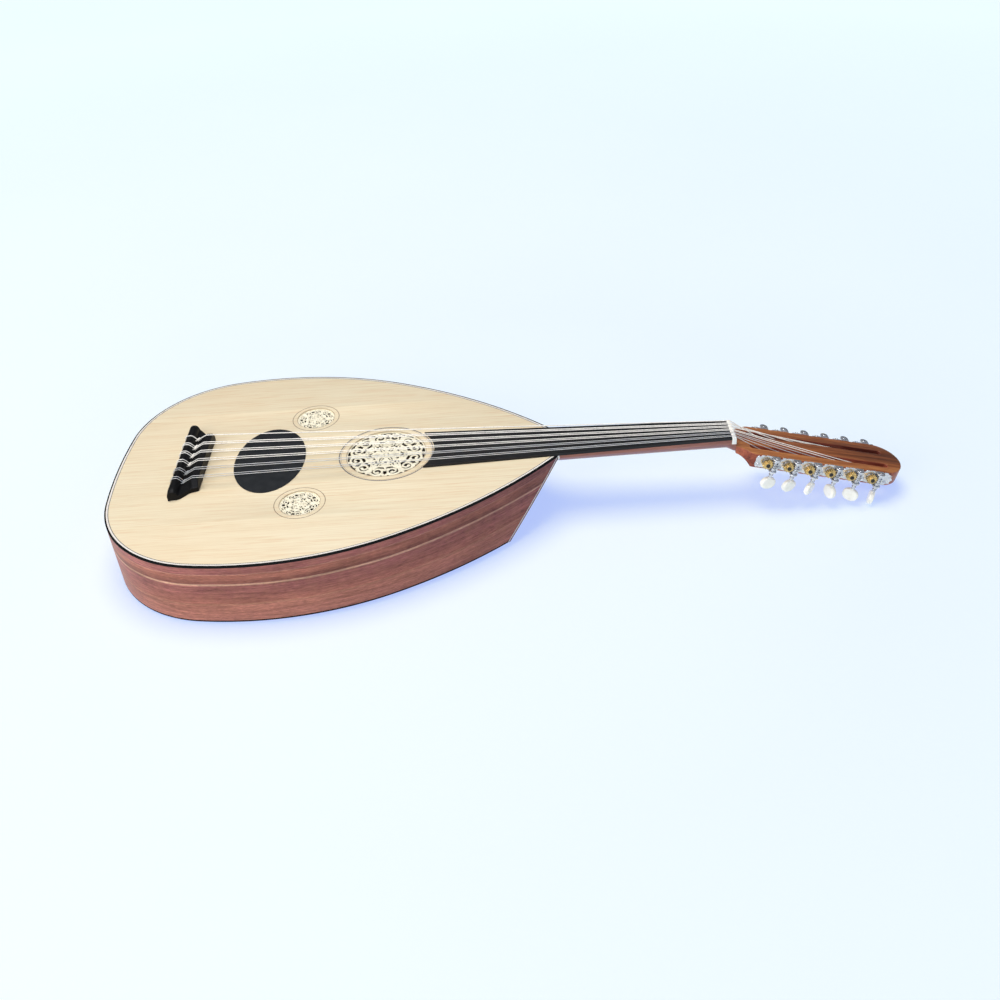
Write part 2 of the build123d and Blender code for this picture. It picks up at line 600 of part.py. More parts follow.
# ---------------------------------------------------------------- strings
def cord(points, radius, sides=10):
    """Cord of flat facets through the points, mitred at each corner."""
    points = [Vector(*p) for p in points]
    runs = [(q - p).normalized() for p, q in zip(points, points[1:])]
    across = runs[0].cross(Vector(0, 1, 0)).normalized()
    upward = runs[0].cross(across).normalized()
    ring = []
    for k in range(sides):
        x, y = polar((0, 0), radius, 360 * k / sides)
        ring.append(points[0] + across * x + upward * y)
    rings = [ring]
    for i in range(1, len(points)):
        run = runs[i - 1]
        mitre = (run + runs[i]).normalized() if i < len(runs) else runs[-1]
        ring = [p + run * ((points[i] - p).dot(mitre) / run.dot(mitre)) for p in ring]
        rings.append(ring)
    rings = [[tuple(p) for p in ring] for ring in rings]
    faces = [rings[0], rings[-1]]
    for here, beyond in zip(rings, rings[1:]):
        for k in range(sides):
            j = (k + 1) % sides
            faces.append([here[k], beyond[k], beyond[j], here[j]])
    return polyhedron(faces)


def string(y_saddle, y_nut, radius, tuner, y_roller):
    """One string, from its loose end behind the saddle to its roller."""
    tie_z = TOP_Z + TIE_H + TIE_GAP + radius
    tail_x = BRIDGE_X0 - 1.0 - radius
    saddle_z = TOP_Z + SADDLE_H + SADDLE_GAP + radius
    nut_z = TOP_Z + NUT_TOP + NUT_GAP + radius
    roller_top = HEAD.from_local_coords(
        Vector(TUNER_S[tuner], y_roller, TUNER_N + POST_R + ROLLER_GAP + radius))
    return cord([
        # loose end, over the tie block and down its tail face
        (TIE_X1 + 1.4, y_saddle + 1.2, TOP_Z + BASE_H + 2.2),
        (TIE_X1 - 2.6, y_saddle + 1.2, tie_z),
        (BRIDGE_X0 + 1.8, y_saddle + 0.45, tie_z),
        (tail_x, y_saddle, TOP_Z + TIE_H - 4.2),
        # through the tie hole and over the saddle
        (tail_x, y_saddle, hole_z),
        (TIE_X1 + 1.6 + radius, y_saddle, hole_z),
        (SADDLE_X0 + 1.0, y_saddle, saddle_z),
        (BRIDGE_X1 - 1.2, y_saddle, saddle_z),
        # over the nut and down to the roller
        (SCALE + 0.6, y_nut, nut_z),
        (NECK_END_X - 2.1, y_nut, nut_z),
        (NECK_END_X - 0.7, y_nut, nut_z - 0.3),
        (NECK_END_X + 0.3, y_nut, nut_z - 1.0),
        tuple(roller_top)], radius)


courses = {}
for (number, y_saddle, y_nut, diameter), (tuner, y_roller) in zip(STRINGS, ROLLERS):
    solid = string(y_saddle, y_nut, diameter / 2, tuner, y_roller)
    courses.setdefault(number, []).append(solid)
for number, solids in courses.items():
    save("strings_course_%d" % number, *solids)
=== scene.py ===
"""Plucked instrument with eleven strings in six courses, three carved rosettes and a slotted head.

It lies on its back: +X runs from the tail to the headstock, +Y to the bass side and +Z up
through the soundboard, with z = 0 under the back. Sizes are in mm; meshes are written in metres.
"""
from math import acos, asin, atan2, copysign, cos, degrees, hypot, pi, radians, sin, sqrt, tan

import bmesh
import bpy
import numpy as np
from mathutils import Matrix, Vector


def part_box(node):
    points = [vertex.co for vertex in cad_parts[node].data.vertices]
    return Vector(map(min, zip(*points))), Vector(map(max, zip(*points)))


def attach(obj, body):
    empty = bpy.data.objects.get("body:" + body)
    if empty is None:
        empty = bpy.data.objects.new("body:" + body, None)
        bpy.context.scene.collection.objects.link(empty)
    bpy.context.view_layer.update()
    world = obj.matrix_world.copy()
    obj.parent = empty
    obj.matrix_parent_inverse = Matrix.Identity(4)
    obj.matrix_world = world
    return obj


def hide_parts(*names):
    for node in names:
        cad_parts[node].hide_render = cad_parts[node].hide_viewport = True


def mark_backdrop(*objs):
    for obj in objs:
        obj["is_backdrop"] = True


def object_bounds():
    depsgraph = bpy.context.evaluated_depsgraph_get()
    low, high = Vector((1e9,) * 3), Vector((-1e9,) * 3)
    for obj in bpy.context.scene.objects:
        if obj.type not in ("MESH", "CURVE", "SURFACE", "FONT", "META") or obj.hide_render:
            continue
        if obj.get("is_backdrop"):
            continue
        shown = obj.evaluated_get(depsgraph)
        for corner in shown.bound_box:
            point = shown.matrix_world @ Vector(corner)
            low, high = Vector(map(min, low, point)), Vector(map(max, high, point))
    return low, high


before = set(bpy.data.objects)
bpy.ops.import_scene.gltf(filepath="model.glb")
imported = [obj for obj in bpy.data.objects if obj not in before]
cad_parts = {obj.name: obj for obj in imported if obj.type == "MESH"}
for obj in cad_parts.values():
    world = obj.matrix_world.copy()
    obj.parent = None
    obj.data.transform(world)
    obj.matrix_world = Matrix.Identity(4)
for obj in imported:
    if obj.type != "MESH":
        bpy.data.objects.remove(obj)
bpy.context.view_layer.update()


def node_box(node):
    """Low and high corners of a CAD piece."""
    return [[c * 1000 for c in corner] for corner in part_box(node)]


# ------------------------------------------------------------------ shared sizes
TOP_Z = node_box("soundboard")[1][2]
TAIL_X = node_box("top_binding")[0][0]
NUT_X0, NUT_X1 = (corner[0] for corner in node_box("nut"))
BIND_WIDTH, BIND_HEIGHT = 1.8, 2.2
BACK_BIND_WIDTH, BACK_BIND_HEIGHT = 2.6, 2.2
SIDE_T, BACK_T, BOARD_T = 2.6, 2.6, 2.2
PANEL_T, LINE_T = 2.6, 0.9
PANEL_FOOT_X, PANEL_TOP_X = 336.5, 398.0   # sloping end plane at z = 0 and at the soundboard
JOINT_X, JOINT_LINE = 394.0, 1.5           # upright joint face and the white strip on it
NECK_DEPTH, NECK_FLANK = 17.5, 3.0
NUT_LEDGE = 5.5                            # neck is cut this far below the soundboard at the nut
NUT_RISE = 3.4
INLAY_DEPTH = 0.8

# Headstock axes: s along it, y across, n out of its face.
HEAD_TILT = radians(13.9)
HEAD_ORIGIN = np.array([NUT_X1, 0.0, TOP_Z - 8.4])
HEAD_S = np.array([cos(HEAD_TILT), 0, -sin(HEAD_TILT)])
HEAD_Y = np.array([0.0, 1.0, 0.0])
HEAD_N = np.array([sin(HEAD_TILT), 0, cos(HEAD_TILT)])
HEAD_T, HEAD_HALF = 17.5, 28.0
HEAD_SLOT_Y = 13.0

# Tuning machines
TUNER_S = [35.5 + 24.3 * k for k in range(6)]
TUNER_N = -8.0
TUNER_GAP = 15.5                           # from a roller to the middle of the gap after it
WORM_OFFSET, WORM_Y = 8.0, 32.9
GEAR_TEETH, GEAR_PITCH_R, GEAR_TIP_R, GEAR_ROOT_R = 14, 5.3, 5.85, 4.55
WORM_PITCH_R, WORM_TIP_R, WORM_ROOT_R = 2.7, 3.25, 1.95
LEAD = 2 * pi * GEAR_PITCH_R / GEAR_TEETH
POST_R = 3.0
SIDES = (("bass", 1), ("treble", -1))
BUTTON_TURN = {"bass": [20, 75, -35, 50, 95, -15], "treble": [14, 26, 48, 107, 149, 70]}

# name, centre x, centre y, opening radius, pattern scale, repeats, grid step
ROSETTES = [
    ("main", 205.2, 0.0, 44.0, 1.0, 6, 0.36),
    ("bass", 118.5, 82.9, 21.6, 0.5, 5, 0.24),
    ("treble", 118.5, -82.9, 21.6, 0.5, 5, 0.24),
]

# Strings: course, y at the bridge, y at the nut, diameter. Courses 2 to 6 are pairs.
STRINGS = [(1, 40.2, 15.8, 1.10)]
for course, (y_bridge, y_nut, diameter) in enumerate(
        [(24.0, 9.9, 1.0), (7.7, 3.9, 0.9), (-8.6, -2.1, 0.8), (-24.9, -8.2, 0.7),
         (-41.0, -14.4, 0.64)], 2):
    STRINGS += [(course, y_bridge + sign * 1.8, y_nut + sign * 1.1, diameter) for sign in (1, -1)]
# Roller of each string: side, roller index, y where the string lands
ROLLERS = [
    ("bass", 0, 13.4), ("bass", 1, 13.2), ("bass", 2, 13.6), ("bass", 3, 14.0),
    ("bass", 4, 14.4), ("treble", 5, -15.0), ("treble", 4, -14.4), ("treble", 3, -14.0),
    ("treble", 2, -13.6), ("treble", 1, -13.2), ("treble", 0, -13.4),
]


def head(points):
    """Headstock coordinates (s, y, n) to the instrument's frame."""
    p = np.atleast_2d(np.asarray(points, float))
    return HEAD_ORIGIN + p[:, :1] * HEAD_S + p[:, 1:2] * HEAD_Y + p[:, 2:3] * HEAD_N


# ------------------------------------------------------------------ node helpers
class Nodes:
    """Adds nodes to a tree; the helpers return output sockets."""

    def __init__(self, tree):
        self.tree = tree

    def put(self, socket, value):
        if hasattr(value, "is_output"):
            self.tree.links.new(value, socket)
            return
        if isinstance(value, tuple) and len(value) == 3 and socket.type == "RGBA":
            value = (*value, 1)
        socket.default_value = value

    def node(self, kind, inputs={}, **settings):
        node = self.tree.nodes.new("ShaderNode" + kind)
        for key, value in settings.items():
            setattr(node, key, value)
        for key, value in inputs.items():
            self.put(node.inputs[key], value)
        return node

    def mix(self, factor, first, second, blend="MIX"):
        inputs = {0: factor, 6: first, 7: second}
        return self.node("Mix", inputs, data_type="RGBA", blend_type=blend).outputs[2]

    def separate(self, vector):
        return self.node("SeparateXYZ", {0: vector}).outputs


class Material(Nodes):
    """Material round one Principled shader."""

    SOCKETS = {
        "color": "Base Color", "rough": "Roughness", "metal": "Metallic", "normal": "Normal",
        "coat": "Coat Weight", "coat_rough": "Coat Roughness", "spec": "Specular IOR Level",
        "sss": "Subsurface Weight", "sss_radius": "Subsurface Radius",
        "sss_scale": "Subsurface Scale", "glow_color": "Emission Color",
        "glow": "Emission Strength"}

    def __init__(self, name):
        self.material = bpy.data.materials.new(name)
        self.material.use_nodes = True
        super().__init__(self.material.node_tree)
        self.tree.nodes.clear()
        output = self.node("OutputMaterial")
        self.shader = self.node("BsdfPrincipled")
        self.put(output.inputs[0], self.shader.outputs[0])

    def set(self, **values):
        for key, value in values.items():
            self.put(self.shader.inputs[self.SOCKETS[key]], value)
        return self

    def base_color(self):
        return self.shader.inputs["Base Color"].links[0].from_socket

    def grain(self):
        """The mesh's gcoord attribute."""
        return self.node("Attribute", attribute_type="GEOMETRY",
                         attribute_name="gcoord").outputs["Vector"]

    def object_coords(self):
        return self.node("TexCoord").outputs["Object"]

    def combine(self, x, y, z):
        return self.node("CombineXYZ", {0: x, 1: y, 2: z}).outputs[0]

    def mapped(self, coords, scale, offset=(0, 0, 0), turn=0.0):
        """Coordinates scaled per axis, shifted, and turned about Z in radians."""
        return self.node("Mapping", {"Vector": coords, "Scale": scale, "Location": offset,
                                     "Rotation": (0, 0, turn)}).outputs[0]

    def noise(self, coords, scale, detail=2, rough=0.5, distort=0.0, **mapping):
        """Noise whose frequency is scale, per axis or one number for all three."""
        if not isinstance(scale, tuple):
            scale = (scale,) * 3
        inputs = {"Vector": self.mapped(coords, scale, **mapping), "Scale": 1,
                  "Detail": detail, "Roughness": rough, "Distortion": distort}
        return self.node("TexNoise", inputs).outputs["Fac"]

    def ramp(self, factor, stops):
        """Colour ramp; stops are (position, colour or grey level)."""
        node = self.node("ValToRGB")
        elements = node.color_ramp.elements
        while len(elements) < len(stops):
            elements.new(0.5)
        for k, (position, color) in enumerate(stops):
            elements[k].position = position
            if isinstance(color, (int, float)):
                color = (color,) * 3
            elements[k].color = (*color, 1)
        self.put(node.inputs[0], factor)
        return node.outputs[0]

    def spread(self, factor, low, high):
        """Ramp over the middle of a noise, from 0.3 to 0.7."""
        return self.ramp(factor, [(0.3, low), (0.7, high)])

    def math(self, operation, *values):
        return self.node("Math", dict(enumerate(values)), operation=operation).outputs[0]

    def add(self, first, second):
        return self.math("ADD", first, second)

    def times(self, first, second):
        return self.math("MULTIPLY", first, second)

    def weighted(self, *terms):
        """Sum of (value, weight) terms."""
        products = [self.times(value, weight) for value, weight in terms]
        total = products.pop()
        while products:
            total = self.add(products.pop(), total)
        return total

    def bump(self, height, strength, distance=0.0001):
        return self.node("Bump", {"Strength": strength, "Distance": distance,
                                  "Height": height}).outputs[0]

    def worn(self, radius, start, end, amount):
        """0 on flats, rising to amount on convex edges between the start and end of wear."""
        bevel = self.node("Bevel", {"Radius": radius}, samples=4)
        geometry = self.node("NewGeometry")
        dot = self.node("VectorMath", {0: bevel.outputs[0], 1: geometry.outputs["Normal"]},
                        operation="DOT_PRODUCT")
        wear = self.math("SUBTRACT", 1.0, dot.outputs["Value"])
        return self.ramp(wear, [(start, 0.0), (end, amount)])


# ------------------------------------------------------------------ materials
def scaled(color, *factors):
    """Colour times one factor or one per channel, no channel over 1."""
    factors = factors * 3 if len(factors) == 1 else factors
    return tuple(min(1, c * k) for c, k in zip(color, factors))


def wood(name, light, mid, dark, across=(700, 700), along=5.0, figure=0.5, pore=0.5,
         rough=(0.32, 0.48), coat=0.0, coat_rough=0.12, carried=False):
    """Wood with its grain along the first coordinate; carried wood uses object coordinates.

    across and along are noise frequencies, figure is the width of the colour spread.
    """
    m = Material(name)
    c = m.object_coords() if carried else m.grain()

    def stretch(lengthwise, crosswise):
        return (along * lengthwise, across[0] * crosswise, across[1] * crosswise)

    warp = m.noise(c, (6, 30, 30))
    broad = m.noise(c, stretch(0.35, 0.07), detail=3, rough=0.55, distort=0.6)
    streak = m.noise(c, stretch(1, 0.35), detail=4, rough=0.62, distort=0.35,
                     offset=(3.1, 1.7, 0.3))
    fibre = m.noise(c, stretch(5, 2.2), rough=0.6, offset=(0.7, 5.1, 2.2))
    tone = m.weighted((broad, 0.45), (streak, 0.55))
    tone = m.weighted((tone, 0.8), (fibre, 0.2))
    color = m.ramp(tone, [(0.5 - 0.22 * figure * 1.2, dark), (0.5, mid),
                          (0.5 + 0.2 * figure * 1.3, light)])
    pores = m.ramp(m.noise(c, stretch(14, 3.4), detail=1, offset=(9, 2, 4)),
                   [(0.28, 1.0), (0.38, 0.0)])
    color = m.mix(m.times(pores, pore), color, scaled(dark, 0.45))
    color = m.mix(m.times(warp, 0.25), color, mid)
    height = m.math("SUBTRACT", m.times(fibre, 0.5), m.times(pores, 0.6))
    return m.set(color=color, rough=m.spread(fibre, *rough), coat=coat, coat_rough=coat_rough,
                 normal=m.bump(height, strength=0.18, distance=0.00012))


def spruce_top():
    """Pale spruce with wavering growth rings, silk across them and short warm dashes."""
    m = Material("spruce_top")
    c = m.grain()
    waver = m.times(m.noise(c, (3.0, 9, 9)), 0.004)
    x, y, z = m.separate(c)
    wavy = m.combine(x, m.add(y, waver), z)
    rings = m.noise(wavy, (13.0, 430, 200), detail=4, rough=0.7)
    band = m.noise(wavy, (6, 120, 60), detail=4, rough=0.6, offset=(4, 0, 1))
    fibre = m.noise(wavy, (26, 1500, 700), rough=0.6, offset=(1, 7, 2))
    silk = m.noise(c, (120, 60, 60), detail=3, rough=0.6, offset=(2, 3, 1), turn=0.12)
    tone = m.weighted((rings, 0.6), (band, 0.15), (fibre, 0.25))
    color = m.ramp(tone, [(0.34, (0.665, 0.525, 0.325)), (0.44, (0.735, 0.62, 0.41)),
                          (0.53, (0.77, 0.675, 0.465)), (0.66, (0.805, 0.73, 0.525))])
    dashes = m.noise(c, (16, 480, 480), rough=0.6, offset=(5, 5, 9))
    color = m.mix(m.ramp(dashes, [(0.56, 0.0), (0.68, 0.68)]), color, (0.68, 0.48, 0.27))
    color = m.mix(m.times(silk, 0.3), color, (0.83, 0.69, 0.47))
    patches = m.noise(c, (7, 9, 9), offset=(8, 8, 1))
    color = m.mix(m.ramp(patches, [(0.35, 0.0), (0.75, 0.22)]), color, (0.80, 0.60, 0.37))
    height = m.weighted((rings, 0.6), (fibre, 0.4))
    return m.set(color=color, rough=m.spread(fibre, 0.42, 0.56), coat=0.06, coat_rough=0.3,
                 normal=m.bump(height, strength=0.12), spec=0.3)


def walnut_side():
    """Figured walnut, grain round the body, with pale lines parallel to the edge."""
    m = Material("walnut_side")
    c = m.grain()
    x, y, z = m.separate(c)
    waver = m.times(m.math("SUBTRACT", m.noise(c, (5, 12, 5)), 0.5), 0.0045)
    level = m.add(y, waver)
    mauve, brown = (0.375, 0.132, 0.112), (0.43, 0.157, 0.107)
    orange, pale = (0.455, 0.178, 0.120), (0.76, 0.43, 0.28)
    layers = m.ramp(m.math("DIVIDE", level, 0.0736), [
        (0.0, orange), (0.30, orange), (0.325, (0.47, 0.21, 0.13)), (0.345, brown),
        (0.60, mauve), (0.655, mauve), (0.672, pale), (0.685, pale),
        (0.70, (0.24, 0.085, 0.065)), (0.80, brown), (0.845, brown),
        (0.858, (0.50, 0.23, 0.16)), (0.872, mauve), (1.0, mauve)])
    wavy = m.combine(x, level, z)
    broad = m.noise(wavy, (4, 45, 10), detail=4, rough=0.6, distort=0.8)
    streak = m.noise(wavy, (22, 360, 50), detail=5, rough=0.7, distort=0.4, offset=(2, 0, 1))
    fibre = m.noise(wavy, (150, 900, 300), detail=3, rough=0.7, offset=(5, 2, 0))
    cross = m.noise(wavy, (90, 70, 20), detail=3, rough=0.55, offset=(1, 4, 2), turn=0.35)
    tone = m.weighted((broad, 0.3), (streak, 0.4), (fibre, 0.3))
    tone = m.ramp(tone, [(0.38, 0.48), (0.47, 0.84), (0.53, 1.14), (0.63, 1.75)])
    color = m.mix(1.0, layers, tone, "MULTIPLY")
    # painted shade: dimmer and more mauve towards the neck end, slightly lighter at the tail, as
    # the light falls off
    length = m.math("MULTIPLY_ADD", m.separate(m.object_coords())[0], 2.0, 0.2)
    shade = m.ramp(length, [(0.0, (1.04, 1.04, 1.06)), (0.45, (0.90, 0.90, 0.94)),
                            (1.0, (0.60, 0.55, 0.66))])
    color = m.mix(1.0, color, shade, "MULTIPLY")
    color = m.mix(m.ramp(cross, [(0.35, 0.0), (0.7, 0.30)]), color, (0.44, 0.19, 0.12))
    pores = m.ramp(m.noise(wavy, (110, 2300, 300), detail=1, offset=(9, 1, 3)),
                   [(0.29, 1.0), (0.39, 0.0)])
    color = m.mix(m.times(pores, 0.5), color, (0.07, 0.028, 0.024))
    height = m.math("SUBTRACT", m.times(fibre, 0.5), m.times(pores, 0.5))
    return m.set(color=color, rough=m.spread(fibre, 0.34, 0.46), coat=0.0, coat_rough=0.25,
                 normal=m.bump(height, strength=0.18), spec=0.12)


def headstock_walnut():
    """Streaked walnut, with painted shade: dimmer and more purple on the faces that don't look up.
    """
    m = wood("headstock_walnut", (0.57, 0.235, 0.075), (0.30, 0.098, 0.034),
             (0.085, 0.026, 0.012), across=(330, 220), along=6, coat=0.15, coat_rough=0.2,
             figure=0.42)
    normal = m.node("NewGeometry").outputs["Normal"]
    # painted shade: faces that don't look up are tinted dimmer and more purple
    flank = m.ramp(m.separate(normal)[2], [(0.35, 0.85), (0.8, 0.0)])
    face = m.base_color()
    shaded_flank_color = m.mix(1.0, face, (1.05, 0.66, 1.05), "MULTIPLY")
    return m.set(color=m.mix(flank, face, shaded_flank_color), spec=0.25)


def ebony(name, base, rough, spec):
    """Near-black wood; base is its grey level."""
    m = Material(name)
    c = m.grain()
    fibre = m.noise(c, (30, 1400, 1400), detail=3, rough=0.6)
    broad = m.noise(c, (8, 160, 160), detail=3)
    grey = (base,) * 3
    color = m.ramp(m.weighted((fibre, 0.5), (broad, 0.5)), [
        (0.35, scaled(grey, 0.5)), (0.6, scaled(grey, 1, 1, 1.05)),
        (0.75, scaled(grey, 2.4, 2.0, 1.8))])
    edge = m.worn(radius=0.0005, start=0.02, end=0.3, amount=0.35)
    color = m.mix(edge, color, scaled(grey, 4, 3.6, 3.3))
    return m.set(color=color, rough=m.spread(fibre, *rough), coat=0.0, coat_rough=0.1,
                 spec=spec, normal=m.bump(fibre, strength=0.14))


def metal(name, color, rough, dark, brushed=300, metallic=1.0):
    """Smudged metal; dark scales the smudges and brushed is the brush marks' frequency."""
    m = Material(name)
    c = m.object_coords()
    smudge = m.noise(c, 160, detail=4, rough=0.6)
    brush = m.noise(c, brushed, rough=0.6)
    tint = m.ramp(smudge, [(0.3, scaled(color, dark)), (0.55, color),
                           (0.8, scaled(color, 1.12))])
    edge = m.worn(radius=0.00035, start=0.03, end=0.35, amount=0.6)
    tint = m.mix(edge, tint, scaled(color, 1.25))
    polish = m.spread(m.weighted((smudge, 0.6), (brush, 0.4)), *rough)
    return m.set(color=tint, rough=polish, metal=metallic,
                 normal=m.bump(brush, strength=0.08, distance=0.00005))


def plain(name, first, second, scale, rough, bump=0.05, wear=None, coat=0.0, **finish):
    """Two close colours mottled together, with an optional colour on worn edges."""
    m = Material(name)
    c = m.object_coords()
    mottle = m.noise(c, scale, detail=3, rough=0.55)
    fine = m.noise(c, tuple(k * 6 for k in scale))
    color = m.ramp(mottle, [(0.32, first), (0.68, second)])
    if wear:
        edge = m.worn(radius=0.0004, start=0.02, end=0.3, amount=0.5)
        color = m.mix(edge, color, wear)
    if "sss" in finish:
        m.set(sss_radius=(0.9, 0.7, 0.45), sss_scale=0.001)
    return m.set(color=color, rough=m.spread(fine, *rough), coat=coat, coat_rough=0.08,
                 normal=m.bump(fine, bump, distance=0.00008), **finish)


def rosette_ivory():
    """Ivory carving with painted shade: brown in its hollows and nearly black well below the
    soundboard.
    """
    m = Material("rosette_ivory")
    c = m.object_coords()
    mottle = m.noise(c, 260, detail=3, rough=0.55)
    fine = m.noise(c, 1600)
    color = m.spread(mottle, (0.86, 0.79, 0.59), (0.92, 0.87, 0.69))
    # painted shade: ambient occlusion turns the hollows brown
    painted_hollow_shade = m.node("AmbientOcclusion", {"Distance": 0.0016}, samples=6).outputs["AO"]
    color = m.mix(m.ramp(painted_hollow_shade, [(0.12, 0.5), (0.5, 0.0)]), color, (0.50, 0.38, 0.20))
    # painted shade: whatever lies well below the soundboard turns nearly black
    depth = m.times(m.math("SUBTRACT", TOP_Z * 0.001, m.separate(c)[2]), 200)
    color = m.mix(m.ramp(depth, [(0.40, 0.0), (0.52, 1.0)]), color, (0.045, 0.03, 0.015))
    return m.set(color=color, rough=m.spread(fine, 0.4, 0.56), spec=0.2,
                 normal=m.bump(fine, strength=0.12))


def rope_inlay():
    """Short slanted dark and pale blocks, one pair every 2.4 mm along the inlay."""
    m = Material("rope_inlay")
    c = m.grain()
    length, width, _ = m.separate(c)
    phase = m.math("FRACT", m.weighted((length, 1 / 0.0024), (width, 500)))
    color = m.ramp(phase, [(0.0, (0.04, 0.04, 0.05)), (0.50, (0.05, 0.05, 0.06)),
                           (0.58, (0.27, 0.25, 0.24)), (0.9, (0.30, 0.28, 0.26)),
                           (1.0, (0.04, 0.04, 0.05))])
    fine = m.noise(c, 2000)
    color = m.mix(m.times(fine, 0.35), color, (0.36, 0.34, 0.31))
    return m.set(color=color, rough=m.spread(fine, 0.35, 0.5), coat=0.2,
                 normal=m.bump(fine, strength=0.08, distance=0.00005))


def wound_string():
    """Silver winding with a ridge every 0.7 mm along the string."""
    m = Material("silver_wound_string")
    c = m.grain()
    silver = (0.92, 0.89, 0.81)
    ridges = m.math("SINE", m.times(m.separate(c)[0], 2 * pi / 0.0007))
    mottle = m.noise(c, 400)
    color = m.ramp(m.weighted((ridges, 0.25), (mottle, 0.8)),
                   [(0.15, scaled(silver, 0.7)), (0.5, silver)])
    return m.set(color=color, rough=m.spread(mottle, 0.25, 0.4), metal=0.1,
                 normal=m.bump(ridges, strength=0.1))


def pearl_button():
    m = Material("pearl_button")
    c = m.object_coords()
    cells = m.node("TexVoronoi", {"Vector": m.mapped(c, (180, 180, 120)), "Scale": 1},
                   feature="F1").outputs["Distance"]
    cloud = m.noise(c, 140, detail=4, rough=0.6, distort=1.2)
    facing = m.node("LayerWeight", {"Blend": 0.35}).outputs["Facing"]
    color = m.ramp(m.weighted((cloud, 0.7), (cells, 0.35)), [
        (0.3, (0.80, 0.78, 0.68)), (0.5, (0.88, 0.86, 0.76)), (0.75, (0.92, 0.90, 0.82))])
    # painted sheen: a pale green-white tint towards grazing angles
    color = m.mix(m.times(facing, 0.3), color, (0.86, 0.88, 0.80))
    # painted light: the button glows faintly in its own colour to look brighter
    return m.set(color=color, rough=m.spread(cloud, 0.14, 0.28), coat=0.5, coat_rough=0.05,
                 sss=0.2, sss_radius=(1, 1, 0.9), sss_scale=0.002, glow_color=color, glow=0.16,
                 normal=m.bump(cloud, strength=0.05))


SPRUCE = spruce_top()
SIDE_WALNUT = walnut_side()
WALNUT = wood("walnut_back", (0.36, 0.165, 0.095), (0.22, 0.088, 0.058), (0.10, 0.036, 0.026),
              across=(260, 260), along=4, coat=0.15, figure=0.42)
MAHOGANY = wood("mahogany_neck", (0.40, 0.15, 0.09), (0.28, 0.09, 0.06), (0.16, 0.045, 0.032),
                across=(420, 420), along=7, coat=0.3, coat_rough=0.18, figure=0.45)
HEAD_WALNUT = headstock_walnut()
BLOCK = wood("block_mahogany", (0.45, 0.25, 0.15), (0.36, 0.18, 0.10), (0.24, 0.11, 0.06),
             rough=(0.55, 0.75), carried=True)
LINING = wood("lining_lime", (0.66, 0.5, 0.31), (0.58, 0.42, 0.25), (0.46, 0.31, 0.17),
              rough=(0.6, 0.8), carried=True)
BRACE = wood("brace_spruce", (0.74, 0.58, 0.36), (0.66, 0.49, 0.29), (0.52, 0.36, 0.19),
             rough=(0.6, 0.8), carried=True)
EBONY = ebony("ebony", base=0.008, rough=(0.42, 0.56), spec=0.14)
EBONY_BOARD = ebony("ebony_board", base=0.014, rough=(0.36, 0.5), spec=0.28)
EBONY_BINDING = ebony("ebony_binding", base=0.012, rough=(0.55, 0.7), spec=0.04)
GUARD = plain("pickguard_black", (0.016, 0.018, 0.020), (0.024, 0.026, 0.028),
              scale=(90, 90, 90), rough=(0.34, 0.46), spec=0.12)
WHITE = plain("white_line", (0.72, 0.70, 0.66), (0.84, 0.83, 0.80), scale=(300, 300, 300),
              rough=(0.25, 0.4), coat=0.2)
PALE = wood("pale_line", (0.88, 0.85, 0.78), (0.83, 0.78, 0.69), (0.70, 0.62, 0.52),
            across=(900, 900), along=20, coat=0.3, pore=0.1, figure=0.9)
ROPE = rope_inlay()
BONE = plain("bone", (0.88, 0.86, 0.79), (0.93, 0.92, 0.87), scale=(60, 400, 400),
             rough=(0.22, 0.36), coat=0.2, sss=0.15, wear=(0.88, 0.86, 0.8))
IVORY = rosette_ivory()
NICKEL = metal("nickel_plate", (0.74, 0.745, 0.76), rough=(0.14, 0.3), dark=0.7,
               brushed=(80, 900, 900), metallic=0.72)
STEEL = metal("polished_steel", (0.70, 0.70, 0.71), rough=(0.16, 0.3), dark=0.65, metallic=0.8)
BRASS = metal("brass_gear", (0.72, 0.50, 0.20), rough=(0.2, 0.38), dark=0.6)
BLUED = metal("blued_screw", (0.06, 0.055, 0.05), rough=(0.3, 0.5), dark=0.5)
NYLON = plain("nylon_string", (0.56, 0.57, 0.56), (0.70, 0.70, 0.68), scale=(60, 900, 900),
              rough=(0.25, 0.4), sss=0.1, bump=0.04)
WOUND = wound_string()
# painted light: the wound strings and the bone nut glow faintly in their own colour, standing in
# for their glints and brightness
for lit, strength in ((WOUND, 0.2), (BONE, 0.07)):
    lit.set(glow_color=lit.base_color(), glow=strength)
BROWN_LINE = plain("brown_line", (0.20, 0.13, 0.08), (0.36, 0.26, 0.17), scale=(700, 700, 700),
                   rough=(0.35, 0.5))
PEARL = pearl_button()


# ------------------------------------------------------------------ mesh helpers
# A shape is (verts, faces) or (verts, faces, grain), grain being the gcoord of each vertex.
def columns(*values):
    """Columns of a point array; single numbers are repeated."""
    return np.stack(np.broadcast_arrays(*values), -1)


def grain_of(shape):
    return np.asarray(shape[2] if len(shape) == 3 else shape[0], float)


def recalc_normals(mesh, merge_dist=None):
    """Turns the faces outward, first merging doubles when a distance is given."""
    bm = bmesh.new()
    bm.from_mesh(mesh)
    if merge_dist:
        bmesh.ops.remove_doubles(bm, verts=bm.verts, dist=merge_dist)
        bmesh.ops.dissolve_degenerate(bm, edges=bm.edges, dist=merge_dist)
    bmesh.ops.recalc_face_normals(bm, faces=bm.faces)
    bm.to_mesh(mesh)
    bm.free()


def new_object(name, data):
    item = bpy.data.objects.new(name, data)
    bpy.context.scene.collection.objects.link(item)
    return item


def new_mesh(name, verts, faces):
    mesh = bpy.data.meshes.new(name)
    mesh.from_pydata((np.asarray(verts, float) * 0.001).tolist(), [], faces)
    mesh.update()
    return mesh


